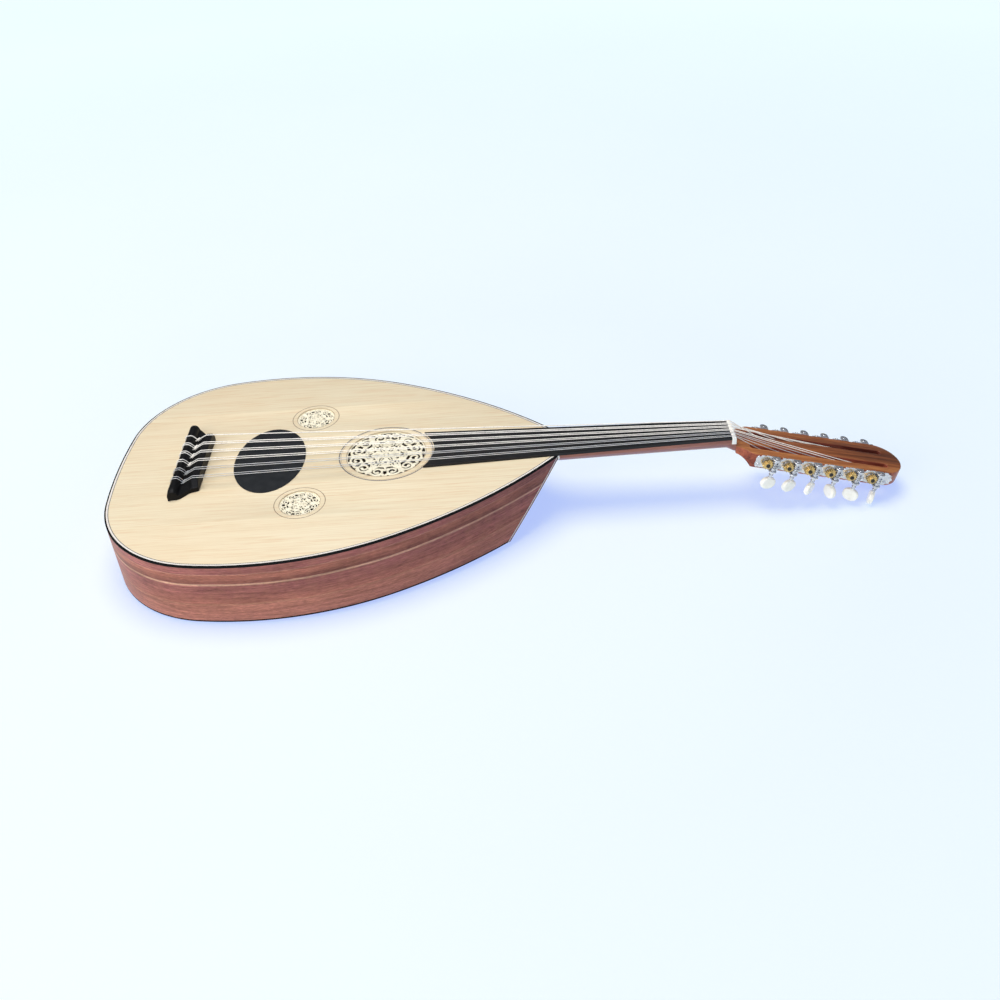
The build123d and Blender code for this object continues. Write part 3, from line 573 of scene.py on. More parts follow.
def build(name, shape, material, replaces=None, body="instrument", sharp=40, recalc=True):
    mesh = new_mesh(name, *shape[:2])
    mesh.materials.append(material.material)
    mesh.shade_smooth()
    mesh.set_sharp_from_angle(angle=radians(sharp))
    attribute = mesh.attributes.new("gcoord", "FLOAT_VECTOR", "POINT")
    values = (grain_of(shape) * 0.001).astype(np.float32)
    attribute.data.foreach_set("vector", values.ravel())
    item = new_object(name, mesh)
    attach(item, body)
    if replaces:
        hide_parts(replaces)
    if recalc:
        recalc_normals(mesh)
    return item


def merge(shapes):
    verts, faces, grain = [], [], []
    count = 0
    for shape in shapes:
        verts.append(np.asarray(shape[0], float))
        grain.append(grain_of(shape))
        faces += [[i + count for i in face] for face in shape[1]]
        count += len(shape[0])
    return np.vstack(verts), faces, np.vstack(grain)


def moved(shape, offset):
    return shape[0] + offset, shape[1]


def in_head(verts, faces):
    """Shape given in headstock coordinates, which it keeps as its grain."""
    return head(verts), faces, verts


def grid(n, m, close_n=False, close_m=False, flip=False):
    """Quads of an n by m grid of points stored row by row."""
    faces = []
    for i in range(n if close_n else n - 1):
        for j in range(m if close_m else m - 1):
            a, b = i * m + j, i * m + (j + 1) % m
            c, d = ((i + 1) % n) * m + (j + 1) % m, ((i + 1) % n) * m + j
            faces.append([a, d, c, b] if flip else [a, b, c, d])
    return faces


def sweep(rings):
    """Capped solid from closed rings with the same number of points."""
    n, m = len(rings), len(rings[0])
    faces = grid(n, m, close_m=True)
    faces.append(list(range(m))[::-1])
    faces.append([(n - 1) * m + k for k in range(m)])
    return np.vstack(list(rings)), faces


def tube(points, radius, sides=12):
    """Round tube through points; its grain is (length along, angle, 0)."""
    p = np.asarray(points, float)
    radii = np.broadcast_to(np.asarray(radius, float), len(p))
    along = np.gradient(p, axis=0)
    along /= np.linalg.norm(along, axis=1)[:, None]
    across = np.cross(along[0], [0, 0, 1.0])
    if np.linalg.norm(across) < 0.1:
        across = np.cross(along[0], [0, 1.0, 0])
    across /= np.linalg.norm(across)
    angles = np.arange(sides) * 2 * pi / sides
    rings, grain = [], []
    for centre, direction, r, length in zip(p, along, radii, arc_lengths(p)):
        across = across - direction * (across @ direction)
        across /= np.linalg.norm(across)
        third = np.cross(direction, across)
        circle_points = np.cos(angles)[:, None] * across + np.sin(angles)[:, None] * third
        rings.append(centre + r * circle_points)
        grain.append(columns(length, angles, 0.0))
    return (*sweep(rings), np.vstack(grain))


def rod(start, end, radius, sides=20):
    start, end = np.asarray(start, float), np.asarray(end, float)
    return tube([start, (start + end) / 2, end], radius, sides)[:2]


def arc_lengths(points):
    return np.r_[0, np.cumsum(np.linalg.norm(np.diff(points, axis=0), axis=1))]


def quadratic(a, b, c, t):
    return (1 - t) ** 2 * a + 2 * t * (1 - t) * b + t * t * c


def round_path(points, radius, n=6):
    """Polyline with corners rounded by n points reaching radius along each leg."""
    p = [np.asarray(q, float) for q in points]
    path = [p[0]]
    for i in range(1, len(p) - 1):
        before, corner, after = p[i - 1:i + 2]
        reach = radius[i] if hasattr(radius, "__len__") else radius
        length0, length1 = np.linalg.norm(before - corner), np.linalg.norm(after - corner)
        reach = min(reach, length0 * 0.48, length1 * 0.48)
        if reach < 1e-6:
            path.append(corner)
            continue
        start = corner + (before - corner) / length0 * reach
        end = corner + (after - corner) / length1 * reach
        path += [quadratic(start, corner, end, t) for t in np.linspace(0, 1, n)]
    path.append(p[-1])
    return np.array(path)


def rounded(pairs, radius, n=4):
    """round_path for a list of number pairs."""
    path = round_path([(a, 0, b) for a, b in pairs], radius, n)
    return [(p[0], p[2]) for p in path]


def lathe(profile, segments, origin=(0, 0, 0), axis=(0, 0, 1)):
    """Solid of revolution; profile is (radius, height along the axis)."""
    axis = np.asarray(axis, float)
    x = np.array([1.0, 0, 0])
    y = np.cross(axis, x)
    a = np.arange(segments) * 2 * pi / segments
    circle_points = np.cos(a)[:, None] * x + np.sin(a)[:, None] * y
    verts = np.vstack([np.asarray(origin, float) + axis * height + max(r, 1e-4) * circle_points
                       for r, height in profile])
    faces = grid(len(profile), segments, close_m=True, flip=True)
    faces.append(list(range(segments)))
    faces.append([(len(profile) - 1) * segments + k for k in range(segments)][::-1])
    return verts, faces


def plate(loops, thickness, bevel, resolution, z=0.0):
    """Flat plate centred at z with rounded edges, from an outer loop and its holes."""
    curve = bpy.data.curves.new("tmp", "CURVE")
    curve.dimensions = "2D"
    curve.fill_mode = "BOTH"
    for loop in loops:
        spline = curve.splines.new("POLY")
        spline.points.add(len(loop) - 1)
        points = np.array([(x, y, 0, 1) for x, y in loop], np.float32)
        spline.points.foreach_set("co", points.ravel())
        spline.use_cyclic_u = True
    curve.extrude = thickness / 2 - bevel
    curve.bevel_depth = bevel
    curve.bevel_resolution = resolution
    curve.offset = -bevel
    scratch = new_object("tmp", curve)
    depsgraph = bpy.context.evaluated_depsgraph_get()
    mesh = bpy.data.meshes.new_from_object(scratch.evaluated_get(depsgraph))
    bm = bmesh.new()
    bm.from_mesh(mesh)
    bmesh.ops.remove_doubles(bm, verts=bm.verts, dist=1e-4)
    bmesh.ops.recalc_face_normals(bm, faces=bm.faces)
    verts = np.array([vert.co for vert in bm.verts], float)
    faces = [[vert.index for vert in face.verts] for face in bm.faces]
    bm.free()
    bpy.data.objects.remove(scratch)
    bpy.data.curves.remove(curve)
    bpy.data.meshes.remove(mesh)
    verts[:, 2] += z
    return verts, faces


def circle(x, y, r, n):
    return [(x + r * cos(2 * pi * k / n), y + r * sin(2 * pi * k / n)) for k in range(n)]


def prism(loop, z0, z1):
    n = len(loop)
    verts = [(x, y, z) for z in (z0, z1) for x, y in loop]
    faces = [[i, (i + 1) % n, n + (i + 1) % n, n + i] for i in range(n)]
    return np.array(verts, float), faces + [list(range(n))[::-1], list(range(n, 2 * n))]


def box(x0, x1, y0, y1, z0, z1):
    verts = [(x, y, z) for z in (z0, z1) for x, y in ((x0, y0), (x1, y0), (x1, y1), (x0, y1))]
    return np.array(verts, float), [[3, 2, 1, 0], [4, 5, 6, 7], [0, 1, 5, 4], [1, 2, 6, 5],
                                    [2, 3, 7, 6], [3, 0, 4, 7]]


def scratch_object(verts, faces):
    item = new_object("scratch", new_mesh("scratch", verts, faces))
    recalc_normals(item.data, merge_dist=2e-6)
    return item


def carve(shape, *tools):
    """Applies (operation, shape) booleans in turn."""
    solid = scratch_object(*shape)
    for operation, tool_shape in tools:
        tool = scratch_object(*tool_shape)
        modifier = solid.modifiers.new("bool", "BOOLEAN")
        modifier.object = tool
        modifier.operation = operation
        modifier.solver = "EXACT"
        depsgraph = bpy.context.evaluated_depsgraph_get()
        result = bpy.data.meshes.new_from_object(solid.evaluated_get(depsgraph))
        solid.modifiers.remove(modifier)
        old = solid.data
        solid.data = result
        bpy.data.meshes.remove(old)
        bpy.data.objects.remove(tool)
    mesh = solid.data
    recalc_normals(mesh, merge_dist=2e-6)
    verts = np.array([vert.co for vert in mesh.vertices], float) * 1000
    faces = [list(face.vertices) for face in mesh.polygons]
    bpy.data.objects.remove(solid)
    bpy.data.meshes.remove(mesh)
    return verts, faces


def clamp(value):
    return max(0.0, min(1.0, value))


# ------------------------------------------------------------------ body outline
# Tangent arcs of the half outline, from the tail to the neck
ARC_RADII = [653.94, 127.35, 355.67, 550.08]
ARC_TURNS = [5.536, 75.077, 33.353]        # degrees
ARC_STEPS = [10, 46, 44, 64]
ARC_ANGLES = [180.0]
ARC_CENTRES = [(TAIL_X + ARC_RADII[0], 0.0)]
for radius0, radius1, turn in zip(ARC_RADII, ARC_RADII[1:], ARC_TURNS):
    angle = ARC_ANGLES[-1] - turn
    x, y = ARC_CENTRES[-1]
    ARC_CENTRES.append((x + (radius0 - radius1) * cos(radians(angle)),
                        y + (radius0 - radius1) * sin(radians(angle))))
    ARC_ANGLES.append(angle)
PANEL_RUN = PANEL_TOP_X - PANEL_FOOT_X
BEVEL_SLOPE = PANEL_RUN / TOP_Z
BEVEL_COS = TOP_Z / hypot(PANEL_RUN, TOP_Z)   # x part of the plane's unit normal


def bevel_x(z, offset=-PANEL_T):
    """x of the sloping end plane at height z, moved by offset along its normal."""
    return PANEL_FOOT_X + BEVEL_SLOPE * z + offset / BEVEL_COS


def end_x(z, offset=-PANEL_T):
    """The same, stopped at the upright joint face."""
    return min(bevel_x(z, offset), JOINT_X)


def half_path(inset, x_end):
    """Bass half of the outline, from the tail to x_end."""
    points = []
    for i, (centre, steps) in enumerate(zip(ARC_CENTRES, ARC_STEPS)):
        r = ARC_RADII[i] - inset
        last = i == 3
        stop = degrees(acos((x_end - centre[0]) / r)) if last else ARC_ANGLES[i + 1]
        a = np.radians(np.linspace(ARC_ANGLES[i], stop, steps + 1))
        arc = columns(centre[0] + r * np.cos(a), centre[1] + r * np.sin(a))
        points.append(arc if last else arc[:-1])
    return np.vstack(points)


def full_path(inset, z):
    """From the treble neck end round the tail to the bass neck end, at height z."""
    bass = half_path(inset, end_x(z))
    return np.vstack([(bass * [1, -1])[::-1], bass[1:]])


def strip(name, profile, material, replaces):
    """Edge strip; profile is a closed loop of (inset, z) swept round the outline."""
    length = arc_lengths(full_path(0.0, TOP_Z))
    paths = [full_path(inset, z) for inset, z in profile]
    rings = np.stack([columns(*path.T, z) for path, (_, z) in zip(paths, profile)], 1)
    grain = np.stack([columns(length, z, inset) for inset, z in profile], 1)
    build(name, (*sweep(rings), grain.reshape(-1, 3)), material, replaces)


openings = [circle(x, y, opening, 96) for _, x, y, opening, *_ in ROSETTES]
build("soundboard_spruce",
      plate([full_path(BIND_WIDTH, TOP_Z)] + openings, BOARD_T, 0.12, 1, TOP_Z - BOARD_T / 2),
      SPRUCE, "soundboard", sharp=30)
build("back_plate_walnut", plate([full_path(BACK_BIND_WIDTH, 0.0)], BACK_T, 0.12, 1, BACK_T / 2),
      WALNUT, "back_plate", sharp=30)

# bindings and edge lines
bind_z = TOP_Z - BIND_HEIGHT
strip("top_binding_black",
      [(0.0, bind_z), (0.0, TOP_Z - 0.8), (0.08, TOP_Z - 0.4), (0.3, TOP_Z - 0.1),
       (0.65, TOP_Z + 0.03), (BIND_WIDTH, TOP_Z + 0.03), (BIND_WIDTH, bind_z)],
      EBONY_BINDING, "top_binding")
# name, inner and outer inset, rise over the soundboard, material
for name, inset0, inset1, rise, material in (
        ("edge_band_pale", BIND_WIDTH, BIND_WIDTH + 1.8, 0.02, PALE),
        ("edge_line_grey", BIND_WIDTH + 1.8, BIND_WIDTH + 2.6, 0.022, ROPE)):
    low, high = TOP_Z - INLAY_DEPTH, TOP_Z + rise
    strip(name, [(inset0, low), (inset0, high), (inset1, high), (inset1, low)],
          material, "edge_purfling")
strip("back_binding_black",
      [(0.0, BACK_BIND_HEIGHT), (BACK_BIND_WIDTH, BACK_BIND_HEIGHT), (BACK_BIND_WIDTH, 0.0),
       (0.8, 0.0), (0.35, 0.12), (0.09, 0.42), (0.0, 0.8)],
      EBONY_BINDING, "back_binding")


def side(name, sign, node):
    """Bent side between the bindings, cut on the slope at its neck end."""
    rows = 14
    x_end = end_x(bind_z)
    lengths = arc_lengths(half_path(0.0, x_end))
    verts, grain = [], []
    for inset in (0.0, SIDE_T):
        for (x, y), length in zip(half_path(inset, x_end), lengths):
            low = max(BACK_BIND_HEIGHT, (x - bevel_x(0)) / BEVEL_SLOPE)
            z = np.linspace(min(low, bind_z - 0.05), bind_z, rows)
            verts.append(columns(x, sign * y, z))
            grain.append(columns(sign * length, z, inset))
    n = len(lengths)
    inner = n * rows
    faces = grid(n, rows)
    faces += [[a + inner for a in face][::-1] for face in faces]
    for k in range(n - 1):                     # lower and upper edges
        a, b = k * rows, (k + 1) * rows
        faces.append([a, b, inner + b, inner + a])
        a, b = a + rows - 1, b + rows - 1
        faces.append([a, inner + a, inner + b, b])
    for j in range(rows - 1):                  # tail and neck ends
        faces.append([j, inner + j, inner + j + 1, j + 1])
        a = (n - 1) * rows + j
        faces.append([a, a + 1, inner + a + 1, inner + a])
    build(name, (np.vstack(verts), faces, np.vstack(grain)), SIDE_WALNUT, node)


side("side_bass_walnut", 1, "side_bass")
side("side_treble_walnut", -1, "side_treble")


# ------------------------------------------------------------------ sloping end panel
def edge_points(inset, offset):
    """Where the inset outline meets the sloping plane moved by offset, from low to high."""
    high = min(TOP_Z, (JOINT_X - bevel_x(0, offset)) / BEVEL_SLOPE)
    centre, r = ARC_CENTRES[3], ARC_RADII[3] - inset
    points = []
    for z in np.linspace(0.0, high, 46):
        x = end_x(z, offset)
        points.append((x, centre[1] + sqrt(r * r - (x - centre[0]) ** 2), z))
    return np.array(points)


def panel(front, back):
    """Solid between two sets of edge points, spanning from side to side."""
    cols = 17
    across = np.linspace(-1, 1, cols)
    verts = np.vstack([columns(x, across * y, z) for x, y, z in (*front, *back)])
    n = len(front)
    rear = n * cols
    faces = grid(n, cols)
    faces += [[a + rear for a in face][::-1] for face in faces]
    for k in range(n - 1):
        a, b = k * cols, (k + 1) * cols
        faces.append([a + rear, b + rear, b, a])
        a, b = a + cols - 1, b + cols - 1
        faces.append([a, b, b + rear, a + rear])
    for j in range(cols - 1):
        faces.append([j, j + 1, j + 1 + rear, j + rear])
        a = (n - 1) * cols + j
        faces.append([a, a + rear, a + 1 + rear, a + 1])
    return verts, faces, verts[:, [2, 1, 0]] * [1.2, 1, 1]


line_offset = LINE_T - PANEL_T
build("heel_panel_walnut", panel(edge_points(0.0, 0.0), edge_points(0.0, line_offset)),
      WALNUT, "heel_panel")


# ------------------------------------------------------------------ neck
BOARD_HALF, BOARD_HALF_X, BOARD_TAPER = 33.4, 253.0, 0.0461
SQUARING_X, SQUARING = 580, 0.85               # section squares up from here to the nut


def board_half(x):
    """Half width of the fingerboard and neck."""
    return BOARD_HALF - BOARD_TAPER * (x - BOARD_HALF_X)


def upright(x, z_max=None):
    """Upright neck section at x, from the bass edge under the neck to the treble edge."""
    ease = clamp((x - SQUARING_X) / (NUT_X1 - SQUARING_X))
    squareness = ease * ease * (3 - 2 * ease) * SQUARING
    half = board_half(x)
    sag = NECK_DEPTH - NECK_FLANK
    r = (half * half + sag * sag) / (2 * sag)
    limit = asin(half / r)
    section = [(half, 0.0), (half, -NECK_FLANK * 0.5)]
    for a in np.linspace(limit, -limit, 40):
        y = r * sin(a)
        z = -NECK_FLANK - (r * cos(a) - (r - sag))
        if squareness:
            # blend towards a rounded rectangle
            t = (a / limit + 1) / 2
            power = 0.28
            across = cos(pi * (1 - t))
            square_y = half * np.sign(across) * abs(across) ** power
            square_z = -NECK_FLANK - sag * abs(sin(pi * t)) ** power
            y = (1 - squareness) * y + squareness * square_y
            z = (1 - squareness) * z + squareness * square_z
        section.append((y, z))
    section += [(-half, -NECK_FLANK * 0.5), (-half, 0.0)]
    return np.array([(x, y, TOP_Z + z) for y, z in section
                     if z_max is None or TOP_Z + z <= z_max])


def lowered(ring):
    """Neck section cut down to the ledge under the nut."""
    ring = ring.copy()
    ring[:, 2] = np.minimum(ring[:, 2], TOP_Z - NUT_LEDGE)
    return ring


# white lines: behind the end panel on both sides, and a strip across the neck joint
line_parts = []
for sign in (1, -1):
    corners = [edge_points(inset, offset) for inset, offset in
               ((-0.04, line_offset), (1.25, line_offset), (1.25, -PANEL_T), (-0.04, -PANEL_T))]
    line_parts.append(sweep(np.stack(corners, 1) * [1, sign, 1]))
line_parts.append(sweep([upright(JOINT_X), upright(JOINT_X + JOINT_LINE)]))
build("heel_white_lines", merge(line_parts), WHITE, "heel_trim")

# wedge filling the slope in front of the upright joint
wedge_front = upright(JOINT_X, (JOINT_X - PANEL_FOOT_X) / BEVEL_SLOPE)
wedge_back = wedge_front.copy()
wedge_back[:, 0] = [min(JOINT_X - 0.01, bevel_x(z, 0.0)) for z in wedge_back[:, 2]]

stations = [*np.linspace(404, 560, 22), *np.linspace(564, NUT_X1, 14)]
before_ledge = upright(NUT_X0)
before_ledge[:, 0] -= 0.02
neck_rings = ([upright(JOINT_X + JOINT_LINE)]
              + [upright(x) for x in stations if x < NUT_X0 - 0.5]
              + [before_ledge, lowered(upright(NUT_X0))]
              + [lowered(upright(x)) for x in stations if x > NUT_X0 + 0.5])
build("neck_mahogany", merge([sweep(neck_rings), sweep([wedge_back, wedge_front])]), MAHOGANY,
      "neck", sharp=38)


def fingerboard():
    """Tapered board whose body end is hollowed round the main rosette."""
    centre_x, end_radius, thickness = ROSETTES[0][1], 53.6, 2.8
    corner_x = centre_x + sqrt(end_radius ** 2 - BOARD_HALF ** 2)
    limit = atan2(BOARD_HALF, corner_x - centre_x)
    loop = [(centre_x + end_radius * cos(t), end_radius * sin(t))
            for t in np.linspace(limit, -limit, 28)]
    loop += [(NUT_X0, -board_half(NUT_X0)), (NUT_X0, board_half(NUT_X0))]
    build("fingerboard_ebony", plate([loop], thickness, 0.25, 2, TOP_Z + thickness / 2),
          EBONY_BOARD, "fingerboard")


def nut():
    """Bone nut, rounded over towards the headstock, with a notch for every string."""
    half = board_half(NUT_X0)
    top, foot = TOP_Z + NUT_RISE, TOP_Z - NUT_LEDGE
    profile = rounded([(NUT_X0, foot), (NUT_X0, top), (NUT_X1, top - 0.1), (NUT_X1, foot)],
                      [0, 0.4, 2.3, 0], 7)
    notches = [y_nut + np.linspace(-0.9, 0.9, 9) for _, _, y_nut, _ in STRINGS]
    ys = np.unique(np.concatenate([np.linspace(-half + 0.4, half - 0.4, 60)] + notches))
    ys = np.concatenate([[-half, -half + 0.12], ys, [half - 0.12, half]])
    rings = []
    for k, y in enumerate(ys):
        ring = np.array([(x, y, z) for x, z in profile])
        cut = 0.0
        for _, _, y_nut, diameter in STRINGS:
            u = abs(y - y_nut) / (diameter * 0.75)
            if u < 1:
                cut = max(cut, 0.35 * sqrt(1 - u * u))
        if k in (0, len(ys) - 1):
            middle = ring.mean(0)[0]
            ring[:, 0] = middle + (ring[:, 0] - middle) * 0.95
            ring[:, 2] = np.minimum(ring[:, 2], top - 0.25)
        ring[ring[:, 2] > top - 2.6, 2] -= cut
        rings.append(ring)
    build("nut_bone", sweep(rings), BONE, "nut", sharp=50)


fingerboard()
nut()

# ------------------------------------------------------------------ bridge
bridge_low, bridge_high = node_box("bridge")
BRIDGE_X0, BRIDGE_X1 = bridge_low[0], bridge_high[0]
TIE_X1, SADDLE_X0 = -13.0, -1.0                # tie block's inner end, saddle bar's inner end
SADDLE_RISE = bridge_high[2] - TOP_Z
TIE_RISE, HOLE_RISE, FLOOR_RISE = 12.5, 6.2, 4.6
BRIDGE_YS = [-70, -65, -63.5, -62, -60.5, -59, -54, -52.5, -51, -49.5, -48, -46.5, -44.5, -20, 0,
             20, 44.5, 46.5, 48, 49.5, 51, 52.5, 54, 59, 60.5, 62, 63.5, 65, 66.5, 68, 70]


def bridge_section(y):
    """Bridge outline in (x, rise) at y: tie block, V floor and saddle bar, lower at the ends."""
    reach = abs(y)
    tie = TIE_RISE - 2.4 * clamp(((reach - 2.5 if y > 0 else reach) - 59.0) / 6.0) ** 1.6
    saddle = SADDLE_RISE - (SADDLE_RISE - 5.0) * clamp((reach - 43.5) / 6.5) ** 1.3
    return rounded(
        [(BRIDGE_X0, 0), (BRIDGE_X0, tie - 3.5), (BRIDGE_X0 + 2.4, tie), (TIE_X1 - 3.6, tie),
         (TIE_X1 - 0.9, tie - 3.0), (TIE_X1 + 0.2, FLOOR_RISE), (SADDLE_X0 - 0.4, FLOOR_RISE),
         (SADDLE_X0 + 0.3, saddle), (BRIDGE_X1, saddle), (BRIDGE_X1, 0)],
        [0, 2.0, 1.6, 1.8, 2.0, 2.2, 2.0, 1.3, 1.0, 0], 7)


def bridge():
    rings = [np.array([(x, y, TOP_Z + z) for x, z in bridge_section(y)]) for y in BRIDGE_YS]
    plan = rounded(
        [(BRIDGE_X0, 67.5), (TIE_X1 + 0.6, 65.4), (SADDLE_X0 - 2.2, 53.2), (BRIDGE_X1, 50.0),
         (BRIDGE_X1, -50.0), (SADDLE_X0 - 2.2, -53.2), (TIE_X1 + 0.6, -63.9),
         (BRIDGE_X0, -65.0)],
        [0, 3.0, 3.0, 0, 0, 3.0, 3.0, 0], 6)
    hole_z = TOP_Z + HOLE_RISE
    holes = merge([rod((BRIDGE_X0 - 3, y, hole_z), (TIE_X1 + 3.5, y, hole_z), 0.95)
                   for _, y, _, _ in STRINGS])
    verts, faces = carve(sweep(rings), ("INTERSECT", prism(plan, TOP_Z - 1, TOP_Z + 30)),
                         ("DIFFERENCE", holes[:2]))
    item = build("bridge_ebony", (verts, faces, verts[:, [1, 0, 2]]), EBONY, "bridge",
                 sharp=30, recalc=False)
    bevel = item.modifiers.new("bevel", "BEVEL")
    bevel.width = 0.45 * 0.001
    bevel.segments = 3
    bevel.limit_method = "ANGLE"
    bevel.angle_limit = radians(50)


def pickguard():
    """Oval plate filling the CAD piece's box."""
    low, high = node_box("pickguard")
    loop = [((low[0] + high[0]) / 2 + a * (high[0] - low[0]) / 2,
             (low[1] + high[1]) / 2 + b * (high[1] - low[1]) / 2)
            for a, b in circle(0, 0, 1, 128)]
    build("pickguard_plate", plate([loop], 0.8, 0.3, 3, TOP_Z + 0.4), GUARD,
          "pickguard")


bridge()
pickguard()


# ------------------------------------------------------------------ rosettes
class StrokeField:
    """Signed distance, negative inside, to a rim and thick strokes, on a square grid."""

    def __init__(self, radius, step, rim_radius):
        self.axis = np.arange(-radius - 2 * step, radius + 2.01 * step, step)
        self.x, self.y = np.meshgrid(self.axis, self.axis, indexing="ij")
        self.distance = np.minimum(9.0, rim_radius - np.hypot(self.x, self.y))

    def add(self, points, widths):
        for (x, y), width in zip(points, np.broadcast_to(widths, len(points))):
            reach = width + 3.0
            i0, i1 = np.searchsorted(self.axis, [x - reach, x + reach])
            j0, j1 = np.searchsorted(self.axis, [y - reach, y + reach])
            if i0 >= i1 or j0 >= j1:
                continue
            part = self.distance[i0:i1, j0:j1]
            gap = np.hypot(self.x[i0:i1, j0:j1] - x, self.y[i0:i1, j0:j1] - y) - width
            np.minimum(part, gap, out=part)

    def add_around(self, points, widths, fold, mirror):
        for k in range(fold):
            a = 2 * pi * k / fold
            turn = np.array([[cos(a), sin(a)], [-sin(a), cos(a)]])
            self.add(points @ turn, widths)
            if mirror:
                self.add((points * [1, -1]) @ turn, widths)


def resample(points, widths, step=0.16):
    length = arc_lengths(points)
    t = np.linspace(0, length[-1], max(2, int(length[-1] / step)))
    path = columns(np.interp(t, length, points[:, 0]), np.interp(t, length, points[:, 1]))
    return path, np.interp(t, length, widths)


def polar(r, a):
    return np.array([r * cos(radians(a)), r * sin(radians(a))])


def scroll(centre, radii, start, turns, widths, stem):
    """Spiral round centre from the first to the last radius, led in from the point stem."""
    t = np.linspace(0, 1, 90)
    a = np.radians(start) + t * turns * 2 * pi
    r = radii[0] + (radii[1] - radii[0]) * t ** 0.85
    points = columns(centre[0] + r * np.cos(a), centre[1] + r * np.sin(a))
    first = points[0]
    direction = points[1] - first
    direction /= np.linalg.norm(direction)
    control = first - direction * np.linalg.norm(first - stem) * 0.45
    lead = quadratic(stem, control, first, np.linspace(0, 1, 20)[:-1, None])
    lead_widths = np.linspace(widths[0] * 1.05, widths[0], 19)
    return (np.vstack([lead, points]),
            np.r_[lead_widths, widths[0] + (widths[1] - widths[0]) * t])


def bend(start, control, end, widths):
    """Curved stroke; widths are those at its start, control point and end."""
    t = np.linspace(0, 1, 40)
    return quadratic(start, control, end, t[:, None]), quadratic(*widths, t)


def arabesque(outer, opening, scale, fold, step):
    """Field of the carved pattern. Strokes are given at full size and multiplied by scale."""
    field = StrokeField(outer, step, opening - 0.9)
    half = 180.0 / fold

    def stroke(points, widths, mirror=True, ball=None):
        points, widths = resample(points * scale, widths * scale)
        if ball:
            widths[-1] = ball * scale
        field.add_around(points, widths, fold, mirror)

    # large outer scroll with a tight eye, springing from the sector line
    scroll_r = min(8.7, 33.2 * sin(radians(half / 2)) * 1.02)
    centre = polar(33.2, half * 0.5)
    start = half * 0.5 - 118
    stroke(*scroll(centre, (scroll_r, 2.2), start, 1.42, (1.45, 0.95), polar(21.0, 1.0)),
           ball=1.9)
    # leaves on the scroll's outside, reaching the rim
    for turn, length in ((-62, 6.6), (8, 5.6), (62, 5.4)):
        a = half * 0.5 + turn
        stroke(*bend(centre + polar(scroll_r, a), centre + polar(scroll_r + length * 0.55, a - 14),
                     centre + polar(scroll_r + length, a + 20), (1.5, 1.6, 0.5)))
    # leaves inside the scroll
    for turn, reach in ((150, 0.62), (235, 0.6), (320, 0.66)):
        a = start + turn
        stroke(*bend(centre + polar(scroll_r * 0.96, a), centre + polar(scroll_r * 0.85, a + 26),
                     centre + polar(scroll_r * reach, a + 40), (1.25, 1.15, 0.55)))
    # palmette on the sector line
    root = polar(25.0, 0)
    for turn, length, width in ((0, 13.5, 1.7), (17, 9.5, 1.2)):
        stroke(*bend(root, root + polar(length * 0.6, turn * 0.3),
                     polar(26.0, 0) + polar(length, turn), (0.9, width, 0.7)))
    # second ring: small scrolls and a band of stems
    stroke(*scroll(polar(20.2, half * 0.56), (4.3, 1.3), half * 0.5 + 175, -1.35, (1.15, 0.8),
                   polar(12.2, half * 0.96)), ball=1.35)
    stroke(*bend(polar(24.6, half), polar(22.0, half * 0.7), polar(24.6, half * 0.2),
                 (1.1, 1.2, 1.1)))
    stroke(*bend(polar(17.0, half), polar(21.0, half), polar(29.5, half), (0.8, 1.7, 0.8)),
           mirror=False)
    # petals
    stroke(*bend(polar(4.4, 0), polar(10.5, half * 1.3), polar(16.8, 0), (1.2, 1.2, 1.1)))
    stroke(*bend(polar(6.0, 0), polar(9, 0), polar(12.6, 0), (0.55, 1.25, 0.5)), mirror=False)
    stroke(*bend(polar(4.0, half), polar(8, half), polar(12.6, half), (0.9, 1.2, 1.1)),
           mirror=False)
    # centre boss and the ring round it
    field.add(np.array([[0.0, 0.0]]), 2.5 * scale)
    a = np.linspace(0, 2 * pi, int(2 * pi * outer / 0.15))
    field.add(4.6 * scale * columns(np.cos(a), np.sin(a)), 1.0 * scale)
    return field


